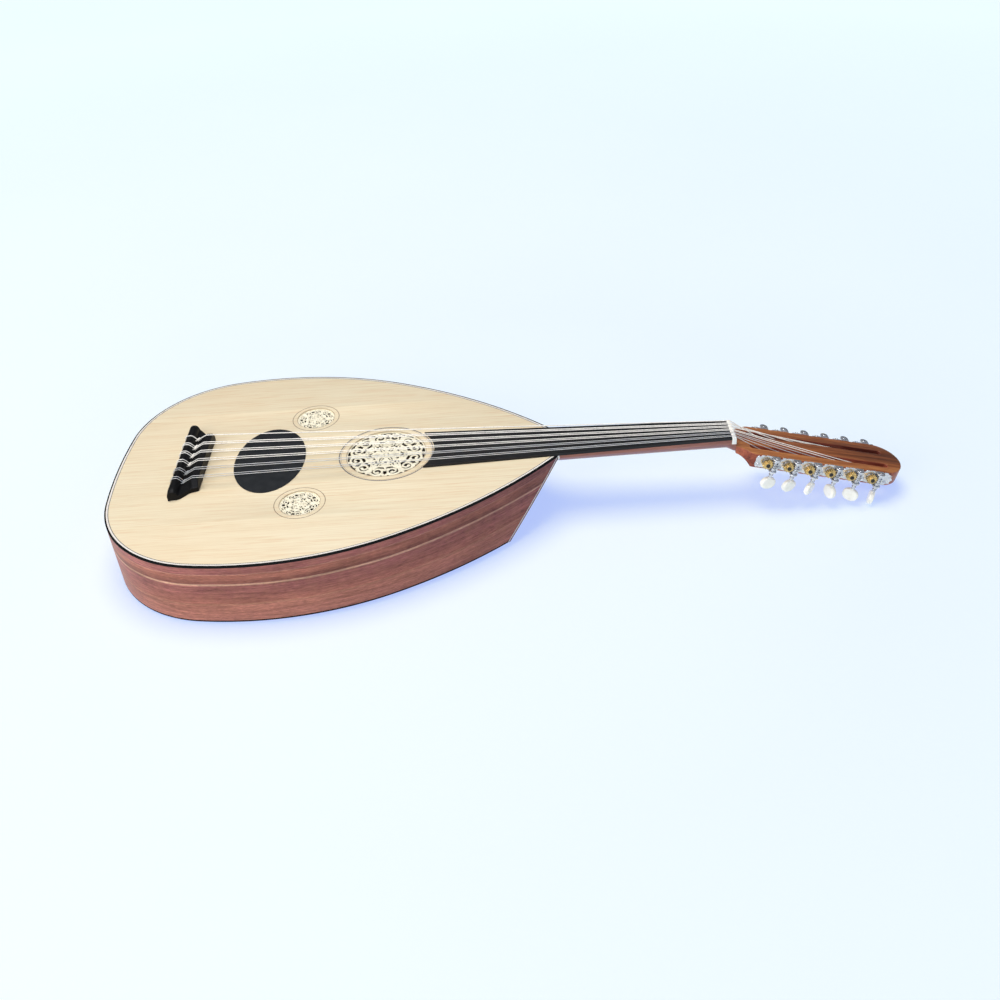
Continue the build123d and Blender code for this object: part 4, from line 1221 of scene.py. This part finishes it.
def rosette(name, cx, cy, opening, scale, fold, step):
    """Pierced carving: domed strokes on a flat underside, with walls between."""
    outer = opening + 3.0
    field = arabesque(outer, opening, scale, fold, step)
    radius = np.hypot(field.x, field.y)
    distance = field.distance - (0.1 if scale > 0.8 else 0.08)
    distance = np.maximum(distance, radius - outer)
    # solid cells, with the border points snapped onto the outline
    n = len(field.axis)
    solid = distance < 0.45 * step
    cell = solid[:-1, :-1] & solid[1:, :-1] & solid[:-1, 1:] & solid[1:, 1:]
    count = np.zeros((n, n), int)
    for di in (0, 1):
        for dj in (0, 1):
            count[di:n - 1 + di, dj:n - 1 + dj] += cell
    slope_x, slope_y = np.gradient(distance, step)
    slope = np.hypot(slope_x, slope_y) + 1e-9
    edge = (count > 0) & (count < 4)
    x, y = field.x.copy(), field.y.copy()
    snap = np.clip(distance, -0.6 * step, 0.6 * step)
    x[edge] -= (snap * slope_x / slope / np.maximum(slope, 0.6))[edge]
    y[edge] -= (snap * slope_y / slope / np.maximum(slope, 0.6))[edge]
    # domed strokes, level on the rim
    inside = np.where(edge, 0.0, np.maximum(-distance, 0.0))
    u = np.clip(inside / (1.25 * max(scale, 0.6)), 0, 1)
    dome = np.sqrt(np.maximum(0, 1 - (1 - u) ** 2))
    rim = np.clip((radius - (opening - 1.4)) / 0.8, 0, 1)
    dome = dome * (1 - rim) + rim * 0.86
    top_z = TOP_Z - 1.35 - (1 - dome) * 0.8
    used = count > 0
    total = int(used.sum())
    index = -np.ones((n, n), int)
    index[used] = np.arange(total)
    top = columns(x[used] + cx, y[used] + cy, top_z[used])
    bottom = columns(x[used] + cx, y[used] + cy, TOP_Z - BOARD_T - 1.8)
    i, j = np.nonzero(cell)
    quads = np.stack([index[i, j], index[i + 1, j], index[i + 1, j + 1], index[i, j + 1]], 1)
    faces = quads.tolist() + (quads[:, ::-1] + total).tolist()
    # walls on cell edges without a neighbour: neighbour step, then the edge's two corners
    padded = np.pad(cell, 1)
    for (di, dj), a, b in (((0, -1), (0, 0), (1, 0)), ((1, 0), (1, 0), (1, 1)),
                           ((0, 1), (1, 1), (0, 1)), ((-1, 0), (0, 1), (0, 0))):
        neighbour = padded[1 + di:n + di, 1 + dj:n + dj]
        i, j = np.nonzero(cell & ~neighbour)
        start, end = index[i + a[0], j + a[1]], index[i + b[0], j + b[1]]
        faces += np.stack([end, start, start + total, end + total], 1).tolist()
    build("rosette_%s_arabesque" % name, (np.vstack([top, bottom]), faces), IVORY,
          "rosette_" + name, sharp=70, recalc=False)


for row in ROSETTES:
    rosette(*row)


def ring_band(cx, cy, r0, r1, rise, n):
    """Flat ring let into the soundboard; its grain runs round it."""
    verts, grain = [], []
    z0, z1 = TOP_Z - 0.5, TOP_Z + rise
    for t in np.radians(np.linspace(0.0, 360.0, n, endpoint=False)):
        for r, z in ((r0, z0), (r0, z1), (r1, z1), (r1, z0)):
            verts.append((cx + r * cos(t), cy + r * sin(t), z))
            grain.append((t * r0, r - r0, z))
    return verts, grid(n, 4, True, True), grain


# inner radius, outer radius, rise over the soundboard, segments
MAIN_LINES = [(44.02, 44.5, 0.018, 240), (50.0, 50.35, 0.018, 240)]
SMALL_LINES = [(26.5, 27.3, 0.022, 180), (21.62, 22.0, 0.018, 160)]
build("rosette_ring_inlay", merge([ring_band(*ROSETTES[0][1:3], 51.3, 52.7, 0.022, 260)]),
      ROPE, "rosette_rings")
build("rosette_ring_lines",
      merge([ring_band(x, y, *line) for name, x, y, *_ in ROSETTES
             for line in (MAIN_LINES if name == "main" else SMALL_LINES)]),
      BROWN_LINE)


# ------------------------------------------------------------------ headstock
def head_slot(y, s0=17.0, s1=179.0, width=7.0):
    """Round-ended slot along the headstock."""
    r = width / 2
    a = np.linspace(pi / 2, 3 * pi / 2, 14)
    b = np.linspace(-pi / 2, pi / 2, 14)
    return ([(s0 + r + r * cos(t), y + r * sin(t)) for t in a]
            + [(s1 - r + r * cos(t), y + r * sin(t)) for t in b])


def headstock():
    half = board_half(NUT_X1)
    flare = rounded([(-1.0, half), (4.0, half + 0.4), (11.5, half + 4.6), (16.5, 26.4),
                     (20.5, HEAD_HALF)], [0, 3.0, 5.0, 3.2, 0], 6)
    corner_s, tip_s = 174, 198                 # where the rounded tip starts and ends
    rise = tip_s - corner_s
    tip_r = (rise ** 2 + HEAD_HALF ** 2) / (2 * rise)
    limit = asin(HEAD_HALF / tip_r)
    tip = [(tip_s - tip_r + tip_r * cos(a), tip_r * sin(a))
           for a in np.linspace(limit, -limit, 36)]
    loop = [(-9, half), *flare, (corner_s - 1.5, HEAD_HALF), *tip, (corner_s - 1.5, -HEAD_HALF),
            *[(s, -y) for s, y in flare][::-1], (-9, -half)]
    verts, faces = plate([rounded(loop, 1.5, 4), head_slot(HEAD_SLOT_Y), head_slot(-HEAD_SLOT_Y)],
                         HEAD_T, 0.9, 3, -HEAD_T / 2)
    # concave cut from the neck's underside to the headstock's lower face
    neck_z = TOP_Z - NECK_DEPTH
    cut = [(NUT_X1 - 12, neck_z + 0.01), (NUT_X1, neck_z)]
    for t in np.linspace(0.15, 1, 7):
        angle = radians(16 + 30 * t)
        cut.append((NUT_X1 + 23.0 * t * cos(angle), neck_z - 23.0 * t * sin(angle)))
    cut += [(cut[-1][0] + 22, cut[-1][1] - 30), (NUT_X1 - 12, -40)]
    cut_verts, cut_faces = prism(cut, -60, 60)
    verts, faces = carve((head(verts), faces),
                         ("DIFFERENCE", box(NUT_X1 - 60, NUT_X1, -60, 60, -60, 130)),
                         ("DIFFERENCE", (cut_verts[:, [0, 2, 1]], cut_faces)))
    local = verts - HEAD_ORIGIN
    build("headstock_walnut_head", (verts, faces, columns(local @ HEAD_S, verts[:, 1],
                                                          local @ HEAD_N)),
          HEAD_WALNUT, "headstock", sharp=28)


headstock()

# ------------------------------------------------------------------ tuning machines
PLATE_Y, PLATE_T, PLATE_N = 28.0, 1.2, -8.1
PLATE_FACE = PLATE_Y + PLATE_T
# Plate outline in (s, n from its centre line); UPPER and LOWER repeat, s from each roller.
UPPER = [(-8.6, 5.6), (-7.9, 7.7), (-5.6, 8.4), (-3.6, 7.6), (-1.6, 8.5), (2.0, 8.5), (4.0, 7.5),
         (4.8, 5.7), (9.0, 5.4)]
LOWER = [(-9.0, -6.6), (-3.0, -7.4), (1.6, -8.4), (8.0, -8.5), (14.2, -8.4)]
LOWER_LAST = (12.0, -8.2)                      # takes the place of the last roller's last point
TIP_END = [(168.0, 6.2), (171.0, 8.0), (174.8, 8.2), (176.6, 6.0), (179.4, 5.2), (180.2, 2.2),
           (182.4, 0.0), (180.2, -2.2), (179.4, -5.2), (176.6, -6.0), (174.8, -8.2),
           (171.0, -8.2)]
NUT_END = [(29.5, -7.4), (27.0, -6.4), (25.4, -8.0), (22.8, -6.2), (22.2, -2.4), (22.8, 0.2),
           (22.2, 2.4), (22.8, 5.6), (24.6, 7.4)]


def plate_outline():
    """Closed loop: lobed over each gear, with flower-shaped ends."""
    upper = [(s + ds, n) for s in TUNER_S for ds, n in UPPER]
    lower = [(s + ds, n) for s in TUNER_S for ds, n in LOWER]
    lower[-1] = (TUNER_S[-1] + LOWER_LAST[0], LOWER_LAST[1])
    loop = upper[:-1] + [(161.5, 5.4)] + TIP_END + lower[::-1] + NUT_END
    return rounded(loop + loop[:2], 1.1, 5)[3:-3]


def lug(sign, s, n):
    """Ear centred at n that carries the shaft: rounded outline in (s, y) with a hole."""
    r = 4.5
    loop = [(s + r, 28.3)]
    loop += [(s + r * cos(t), WORM_Y + r * 0.98 * sin(t)) for t in np.linspace(0, pi, 18)]
    loop.append((s - r, 28.3))
    verts, faces = plate([loop, circle(s, WORM_Y, 1.8, 20)], 1.5, 0.3, 2, n)
    return verts * [1, sign, 1], faces


def slotted_screw(r, height, turn):
    """Pan-head screw along +Y with its underside at y = 0; turn slants the slot."""
    profile = rounded([(0.0, 0.0), (r, 0.0), (r, height * 0.55), (r * 0.72, height * 0.93),
                       (0.0, height)], 0.25)
    slot = box(-r - 1, r + 1, -0.28, 0.28, height - 0.42, height + 1)
    verts, faces = carve(lathe(profile, 28), ("DIFFERENCE", slot))
    axis = np.array([0, 1.0, 0])
    x = np.array([1, 0, turn])
    x = x / np.linalg.norm(x)
    y = np.cross(axis, x)
    return verts[:, :1] * x + verts[:, 1:2] * y + verts[:, 2:3] * axis, faces


def mounting_plate(sign, base):
    """Plate with its lugs and raised scrolls, in headstock coordinates."""
    verts, faces = base
    verts = columns(verts[:, 0], sign * (PLATE_Y + verts[:, 2]), PLATE_N + verts[:, 1])
    parts = [(verts, faces)]
    for s in TUNER_S:
        parts += [lug(sign, s + WORM_OFFSET, n) for n in (-0.35, -15.85)]
    y = sign * PLATE_FACE
    for s, facing in ((26.0, 1.0), (178.0, -1.0)):         # spirals at both ends
        for up in (1, -1):
            t = np.linspace(0, 1, 40)
            a = t * 2.2 * pi + 0.4
            r = 2.3 * (1 - 0.75 * t)
            path = columns(s - facing * 0.4 + r * np.cos(a), y,
                           PLATE_N + up * (3.3 + r * np.sin(a)))
            parts.append(tube(path, np.linspace(0.34, 0.2, 40), 8)[:2])
    for s in TUNER_S[:5]:                                  # waves between the machines
        for way in (1, -1):
            t = np.linspace(0, 1, 24)
            path = columns(s + TUNER_GAP + way * (1.0 + 2.6 * t), y,
                           PLATE_N + 1.8 * np.sin(t * 5.0))
            parts.append(tube(path, np.linspace(0.3, 0.16, 24), 8)[:2])
    return merge(parts)[:2]


def plate_screws(screw):
    screw_n = TUNER_N - 4.0
    parts = []
    for i, s in enumerate([26.4, *[s + TUNER_GAP for s in TUNER_S[:5]], 174.4]):
        for sign in (1, -1):
            verts, faces = screw
            if sign < 0:
                faces = [face[::-1] for face in faces]
            a = 0.7 * i + sign
            turn = np.array([[cos(a), 0, sin(a)], [0, 1, 0], [-sin(a), 0, cos(a)]])
            verts = verts * [1, sign, 1] @ turn.T + [s, sign * PLATE_FACE, screw_n]
            parts.append((verts, faces))
            parts.append(rod((s, sign * 19.5, screw_n), (s, sign * 29.4, screw_n), 1.1, 12))
    verts, faces, _ = merge(parts)
    build("plate_screws_nickel", (head(verts), faces), STEEL, "plate_screws", sharp=30)


plate_holes = [circle(s, TUNER_N - PLATE_N, 3.1, 20) for s in TUNER_S]
base_plate = plate([plate_outline()] + plate_holes, PLATE_T, 0.28, 2, PLATE_T / 2)
small_screw = slotted_screw(1.9, 0.95, 0.4)
gear_screw = slotted_screw(2.3, 1.1, -0.7)
for side_name, sign in SIDES:
    build("tuner_plate_%s_nickel" % side_name, in_head(*mounting_plate(sign, base_plate)),
          NICKEL, "tuner_plate_" + side_name, sharp=35)
plate_screws(small_screw)


def thread_height(u):
    """Thread height, 0 to 1, at u leads from the ridge's centre."""
    flank = tan(radians(20))
    outer = (0.75 - 2 * (WORM_TIP_R - WORM_PITCH_R) * flank) / LEAD / 2
    inner = (0.75 + 2 * (WORM_PITCH_R - WORM_ROOT_R) * flank) / LEAD / 2
    x = np.clip((inner - np.abs(u)) / (inner - outer), 0, 1)
    return x * x * (3 - 2 * x) * 0.35 + x * 0.65


def worm():
    angle, z = np.meshgrid(np.arange(40) * 2 * pi / 40, np.linspace(-4.3, 4.3, 150))
    ridge = LEAD * (angle - pi) / (2 * pi) + LEAD / 2
    u = ((z - ridge) / LEAD + 0.5) % 1.0 - 0.5
    fade = np.clip((4.0 - np.abs(z)) / 0.8, 0, 1)
    r = WORM_ROOT_R + (WORM_TIP_R - WORM_ROOT_R) * thread_height(u) * fade
    return sweep(columns(r * np.cos(angle), r * np.sin(angle), z))


# Shaft and button are built round the worm's centre; profiles are (radius, n on the headstock).
WORM_ORIGIN = (0, 0, -TUNER_N)
SHAFT_TOP = [(0, 0.9), (1.35, 0.9), (1.7, 0.55), (1.7, -1.2), (2.35, -1.2), (2.35, -3.9),
             (0, -3.9)]
SHAFT_LOW = [(0, -12.1), (2.35, -12.1), (2.35, -15.0), (1.7, -15.0), (1.7, -16.75),
             (2.9, -16.75), (2.9, -18.3), (1.9, -18.3), (1.75, -19.6), (2.5, -20.1),
             (2.5, -21.1), (1.75, -21.6), (2.05, -23.7), (1.5, -24.0), (1.5, -32.5), (0, -32.5)]
BUTTON_COLLAR = [(0, -23.7), (1.6, -23.7), (2.5, -23.7), (2.6, -24.9), (2.9, -25.9), (0, -25.9)]
POST = [(0, 5.3), (2.5, 5.3), (POST_R, 5.8), (POST_R, 29.3), (4.1, 29.3), (4.1, 30.75),
        (0, 30.75)]                            # radius, distance from the centre line
GEAR_HUB = [(0, 0), (3.5, 0), (3.5, 1.05), (3.25, 1.3), (0, 1.3)]
# Gear tooth: radius and angle from the tooth's centre in radians
TOOTH = [(GEAR_ROOT_R, -0.175), (GEAR_ROOT_R + 0.25, -0.142), (GEAR_PITCH_R, -0.086),
         (GEAR_TIP_R - 0.12, -0.052), (GEAR_TIP_R, -0.034), (GEAR_TIP_R, 0.034),
         (GEAR_TIP_R - 0.12, 0.052), (GEAR_PITCH_R, 0.086), (GEAR_ROOT_R + 0.25, 0.142),
         (GEAR_ROOT_R, 0.175)]
GEAR_Y, GEAR_T = 30.75, 4.2


def signed_power(value, power):
    return copysign(abs(value) ** power, value)


def finger_button():
    """Oval button: flat-sided lens with full rims, and its collar."""
    half_x, half_y, half_z = 8.9, 3.4, 7.4
    around, rows = 56, 24
    verts = []
    for j in range(1, rows):
        v = -pi / 2 + pi * j / rows
        width = abs(cos(v)) ** 0.42
        dish = 1 - 0.16 * (1 - min(1, width * 1.05) ** 2) if abs(v) > 0.6 else 1.0
        y = half_y * signed_power(sin(v), 0.62) * dish
        for i in range(around):
            u = 2 * pi * i / around
            verts.append((half_x * signed_power(cos(u), 0.92) * width, y,
                          half_z * signed_power(sin(u), 0.92) * width))
    faces = grid(rows - 1, around, close_m=True)
    faces.append(list(range(around))[::-1])
    faces.append([(rows - 2) * around + i for i in range(around)])
    lens = moved((np.array(verts), faces), [0, 0, -31.6 - TUNER_N])
    return merge([lens, lathe(rounded(BUTTON_COLLAR, 0.25), 28, WORM_ORIGIN)])[:2]


def gear():
    """Toothed wheel and hub in (s, n, distance from the centre line)."""
    loop = []
    for k in range(GEAR_TEETH):
        a = 2 * pi * k / GEAR_TEETH
        loop += [(r * cos(a + da), r * sin(a + da)) for r, da in TOOTH]
    return merge([plate([loop], GEAR_T, 0.18, 2, GEAR_Y + GEAR_T / 2),
                  lathe(rounded(GEAR_HUB, 0.2), 28, (0, 0, 34.9))])[:2]


shaft = merge([worm(), lathe(rounded(SHAFT_TOP, 0.2), 32, WORM_ORIGIN),
               lathe(rounded(SHAFT_LOW, 0.28), 32, WORM_ORIGIN)])[:2]
button_verts, button_faces = finger_button()
gear_verts, gear_faces = gear()


def tuner(side_name, sign, k):
    """Key (shaft and button) and roller (post, gear and screw) of one machine."""
    s = TUNER_S[k]
    key, roller = "key_%s_%d" % (side_name, k + 1), "roller_%s_%d" % (side_name, k + 1)
    place = [s + WORM_OFFSET, sign * WORM_Y, TUNER_N]
    build(key + "_worm_shaft", in_head(*moved(shaft, place)), STEEL, key, key,
          sharp=45)
    a = radians(BUTTON_TURN[side_name][k])
    turn = np.array([[cos(a), -sin(a), 0], [sin(a), cos(a), 0], [0, 0, 1]])
    build(key + "_button", in_head(button_verts @ turn.T + place, button_faces), PEARL,
          body=key, sharp=60)
    post = lathe(rounded(POST, 0.25), 32, (s, 0, TUNER_N), (0, sign, 0))
    build(roller + "_post", in_head(*post), NICKEL, roller, roller)
    verts = columns(gear_verts[:, 0] + s, sign * gear_verts[:, 2], gear_verts[:, 1] + TUNER_N)
    build(roller + "_gear", in_head(verts, gear_faces), BRASS, body=roller, sharp=30)
    verts = gear_screw[0] * [1, sign, 1] + [s, sign * 36.3, TUNER_N]
    build(roller + "_screw", (head(verts), gear_screw[1]), BLUED, body=roller,
          sharp=30)


for side_name, sign in SIDES:
    for k in range(6):
        tuner(side_name, sign, k)


# ------------------------------------------------------------------ strings
def string(number, course, y, y_nut, diameter, side_name, k, y_roller):
    """One string: y is its place at the bridge, y_roller its place on roller k."""
    r = diameter / 2
    material, slot = (WOUND, "string_wound") if course <= 4 else (NYLON, "string_nylon")
    saddle_z = TOP_Z + SADDLE_RISE + 0.02 + r
    nut_z = TOP_Z + NUT_RISE + r - 0.28
    hole_z = TOP_Z + HOLE_RISE
    tie_z = TOP_Z + TIE_RISE + 0.05 + r
    s = TUNER_S[k]
    end = head([(s, y_roller, TUNER_N + POST_R + 0.05 + r)])[0]
    x_back = BRIDGE_X0 - r - 0.06
    hole_end = np.array([TIE_X1 + 0.6, y, hole_z])
    on_saddle = np.array([SADDLE_X0 + 0.8, y, saddle_z])
    # from behind the tie block through its hole, over saddle and nut, to the roller
    main = round_path(
        [(x_back, y + 0.1, TOP_Z + 8.6), (x_back, y, TOP_Z + 6.6), (BRIDGE_X0 + 1.0, y, hole_z),
         hole_end, on_saddle, (BRIDGE_X1 - 0.8, y, saddle_z), (NUT_X0 + 0.5, y_nut, nut_z),
         (NUT_X1 - 2.2, y_nut, nut_z + 0.02),
         (NUT_X1 + 0.1, y_nut + (y_roller - y_nut) * 0.004, nut_z - 1.2), end],
        [0, 0.7, 0, 1.6, 1.2, 1.0, 0.4, 1.2, 2.0, 0], 7)
    # the free end goes back over the tie block
    back = round_path(
        [(x_back, y + 0.1, TOP_Z + 8.6), (x_back + 0.2, y + 0.2, TOP_Z + 10.2),
         (BRIDGE_X0 + 1.7, y + 0.5, tie_z), (TIE_X1 - 3.6, y + 1.1, tie_z),
         (TIE_X1 - 0.4 + r, y + 1.15, TOP_Z + 9.4), (TIE_X1 + 1.2 + r, y + 1.05, TOP_Z + 6.8)],
        [0, 1.0, 1.6, 2.0, 1.4, 0], 6)
    # and winds round the string between the tie block and the saddle
    axis = (on_saddle - hole_end) / np.linalg.norm(on_saddle - hole_end)
    across = np.array([0, 1.0, 0])
    up = np.cross(axis, across)
    up /= np.linalg.norm(up)
    t = np.linspace(0, 1, 40)[:, None]
    angle = t * 2.2 * 2 * pi
    helix = (hole_end + axis * (1.2 + t * 4.2 * max(0.8, diameter))
             + (2 * r + 0.04) * (np.cos(angle) * across - np.sin(angle) * up))
    build("string_%d_course_%d" % (number, course),
          merge([tube(main, r, 14), tube(np.vstack([back[:-1], helix]), r)]),
          material, "strings_course_%d" % course, sharp=60)
    # turns on the roller, ending inside the post
    roller = "roller_%s_%d" % (side_name, k + 1)
    t = np.linspace(0, 3.0, 110)
    wrap_r = POST_R + r + 0.04
    wrap_y = y_roller - copysign(1.0, y_roller) * diameter * 1.04 * t
    turns = columns(s + wrap_r * np.sin(2 * pi * t), wrap_y,
                    TUNER_N + wrap_r * np.cos(2 * pi * t))
    turns = np.vstack([turns, [s + 0.2, wrap_y[-1], TUNER_N + 1.5]])
    verts, faces, grain = tube(turns, r, 10)
    build(roller + "_windings", (head(verts), faces, grain), material, body=roller,
          sharp=60)


for number, (line, roller_place) in enumerate(zip(STRINGS, ROLLERS), 1):
    string(number, *line, *roller_place)

# CAD pieces inside the body, kept as they are
for node, material in (("soundboard_linings", LINING), ("back_linings", LINING),
                       ("soundboard_braces", BRACE), ("back_braces", BRACE),
                       ("neck_block", BLOCK), ("tail_block", BLOCK)):
    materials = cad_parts[node].data.materials
    materials.clear()
    materials.append(material.material)

# ------------------------------------------------------------------ floor, lights, world, camera
PAINTED_SHADOW_BLUE = (0.375, 0.50, 0.94)
PALE_SKY = (0.80, 0.90, 1.0)
ROOM_BLUE = (0.62, 0.74, 1.0)


def floor_material():
    """Glowing floor with a painted blue shadow under the instrument, paler away from it."""
    m = Material("studio_floor")
    c = m.object_coords()
    broad = m.noise(c, 1.3, detail=3)
    fine = m.noise(c, 900)
    x, y, _ = m.separate(c)
    squares = m.add(m.math("POWER", m.math("SUBTRACT", x, 0.3), 2.0), m.math("POWER", y, 2.0))
    distance = m.times(m.math("SQRT", squares), 0.125)
    # painted shadow: the glow is bluer and dimmer near the instrument
    glow = m.ramp(distance, [(0.06, PAINTED_SHADOW_BLUE), (0.14, (0.47, 0.60, 0.95)),
                             (0.30, (0.66, 0.80, 0.97)), (0.6, PALE_SKY)])
    m.set(glow_color=PAINTED_SHADOW_BLUE)                # the socket's own colour, under the link
    return m.set(color=m.spread(broad, (0.45, 0.42, 0.075), (0.47, 0.44, 0.085)),
                 rough=m.spread(fine, 0.6, 0.75), spec=0.1, glow_color=glow, glow=1.0,
                 normal=m.bump(fine, strength=0.03))


def studio_floor():
    """Plane tilted to touch the body's tail and the lowest button."""
    tips = []
    for node in ("key_treble_6", "key_bass_6"):
        low, high = node_box(node)
        tips.append((low[2], (low[0] + high[0]) / 2))
    tip_z, tip_x = min(tips)
    slope = tip_z / (tip_x - TAIL_X)
    size = 9000.0
    verts = [(x, y, (x - TAIL_X) * slope - 0.25) for x in (-size, size) for y in (-size, size)]
    material = floor_material()
    mesh = bpy.data.meshes.new("studio_floor")
    mesh.from_pydata((np.array(verts) * 0.001).tolist(), [], [[0, 2, 3, 1]])
    mesh.materials.append(material.material)
    return new_object("studio_floor", mesh)


def disk_light(name, location, target, size, power, color):
    light = bpy.data.lights.new(name, "AREA")
    light.shape = "DISK"
    light.size = size
    light.energy = power
    light.color = color
    item = bpy.data.objects.new(name, light)
    item.location = location
    direction = Vector(target) - Vector(location)
    item.rotation_euler = direction.to_track_quat("-Z", "Y").to_euler()
    bpy.context.scene.collection.objects.link(item)
    return item


def studio_world():
    """Reflections see a dark wall towards +Y and a bright room towards -Y."""
    world = bpy.data.worlds.new("studio_world")
    world.use_nodes = True
    w = Nodes(world.node_tree)
    background = w.tree.nodes["Background"]
    color, strength = background.inputs[:2]
    w.put(color, ROOM_BLUE)                    # the socket's own colour, under the link
    generated = w.node("TexCoord").outputs["Generated"]
    wall = w.node("MapRange", {"From Min": -0.1, "From Max": 0.3, "To Min": 0.9, "To Max": 0.05,
                               "Value": w.separate(generated)[1]}).outputs[0]
    path = w.node("LightPath").outputs
    lit = w.node("Mix", {0: path["Is Glossy Ray"], 2: 0.35, 3: wall}).outputs[0]
    seen = w.node("Mix", {0: path["Is Camera Ray"], 2: lit, 3: 1.0}).outputs[0]
    w.put(strength, seen)
    w.put(color, w.mix(path["Is Camera Ray"], ROOM_BLUE, PALE_SKY))
    bpy.context.scene.world = world


def studio_camera(location, yaw, pitch, roll):
    """Camera looking along +Y; pitch tips it down."""
    data = bpy.data.cameras.new("camera")
    data.sensor_width = 36.0
    data.lens = 39.6
    data.clip_end = 50
    camera = bpy.data.objects.new("camera", data)
    forward = np.array([sin(yaw) * cos(pitch), cos(yaw) * cos(pitch), -sin(pitch)])
    level = np.array([cos(yaw), -sin(yaw), 0.0])
    upward = np.cross(level, forward)
    right = cos(roll) * level + sin(roll) * upward
    up = -sin(roll) * level + cos(roll) * upward
    matrix = Matrix.Identity(4)
    for i in range(3):
        matrix[i][:] = right[i], up[i], -forward[i], location[i]
    camera.matrix_world = matrix
    bpy.context.scene.collection.objects.link(camera)
    bpy.context.scene.camera = camera
    return camera


floor = studio_floor()
key_light = disk_light("key_light", location=(0.1, 0.15, 2.3), target=(0.3, 0, 0), size=1.5,
                       power=45, color=(1.0, 0.965, 0.93))
fill_light = disk_light("fill_light", location=(-1.5, -1.9, 1.2), target=(0.1, 0, 0), size=1.8,
                        power=32, color=(1.0, 0.95, 0.92))
studio_world()
camera = studio_camera(location=(0.34065, -1.01284, 0.75213), yaw=radians(-0.758),
                       pitch=radians(36.63), roll=radians(-4.087))
bpy.context.scene.view_settings.view_transform = "Standard"

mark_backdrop(floor, key_light, fill_light, camera)

low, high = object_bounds()
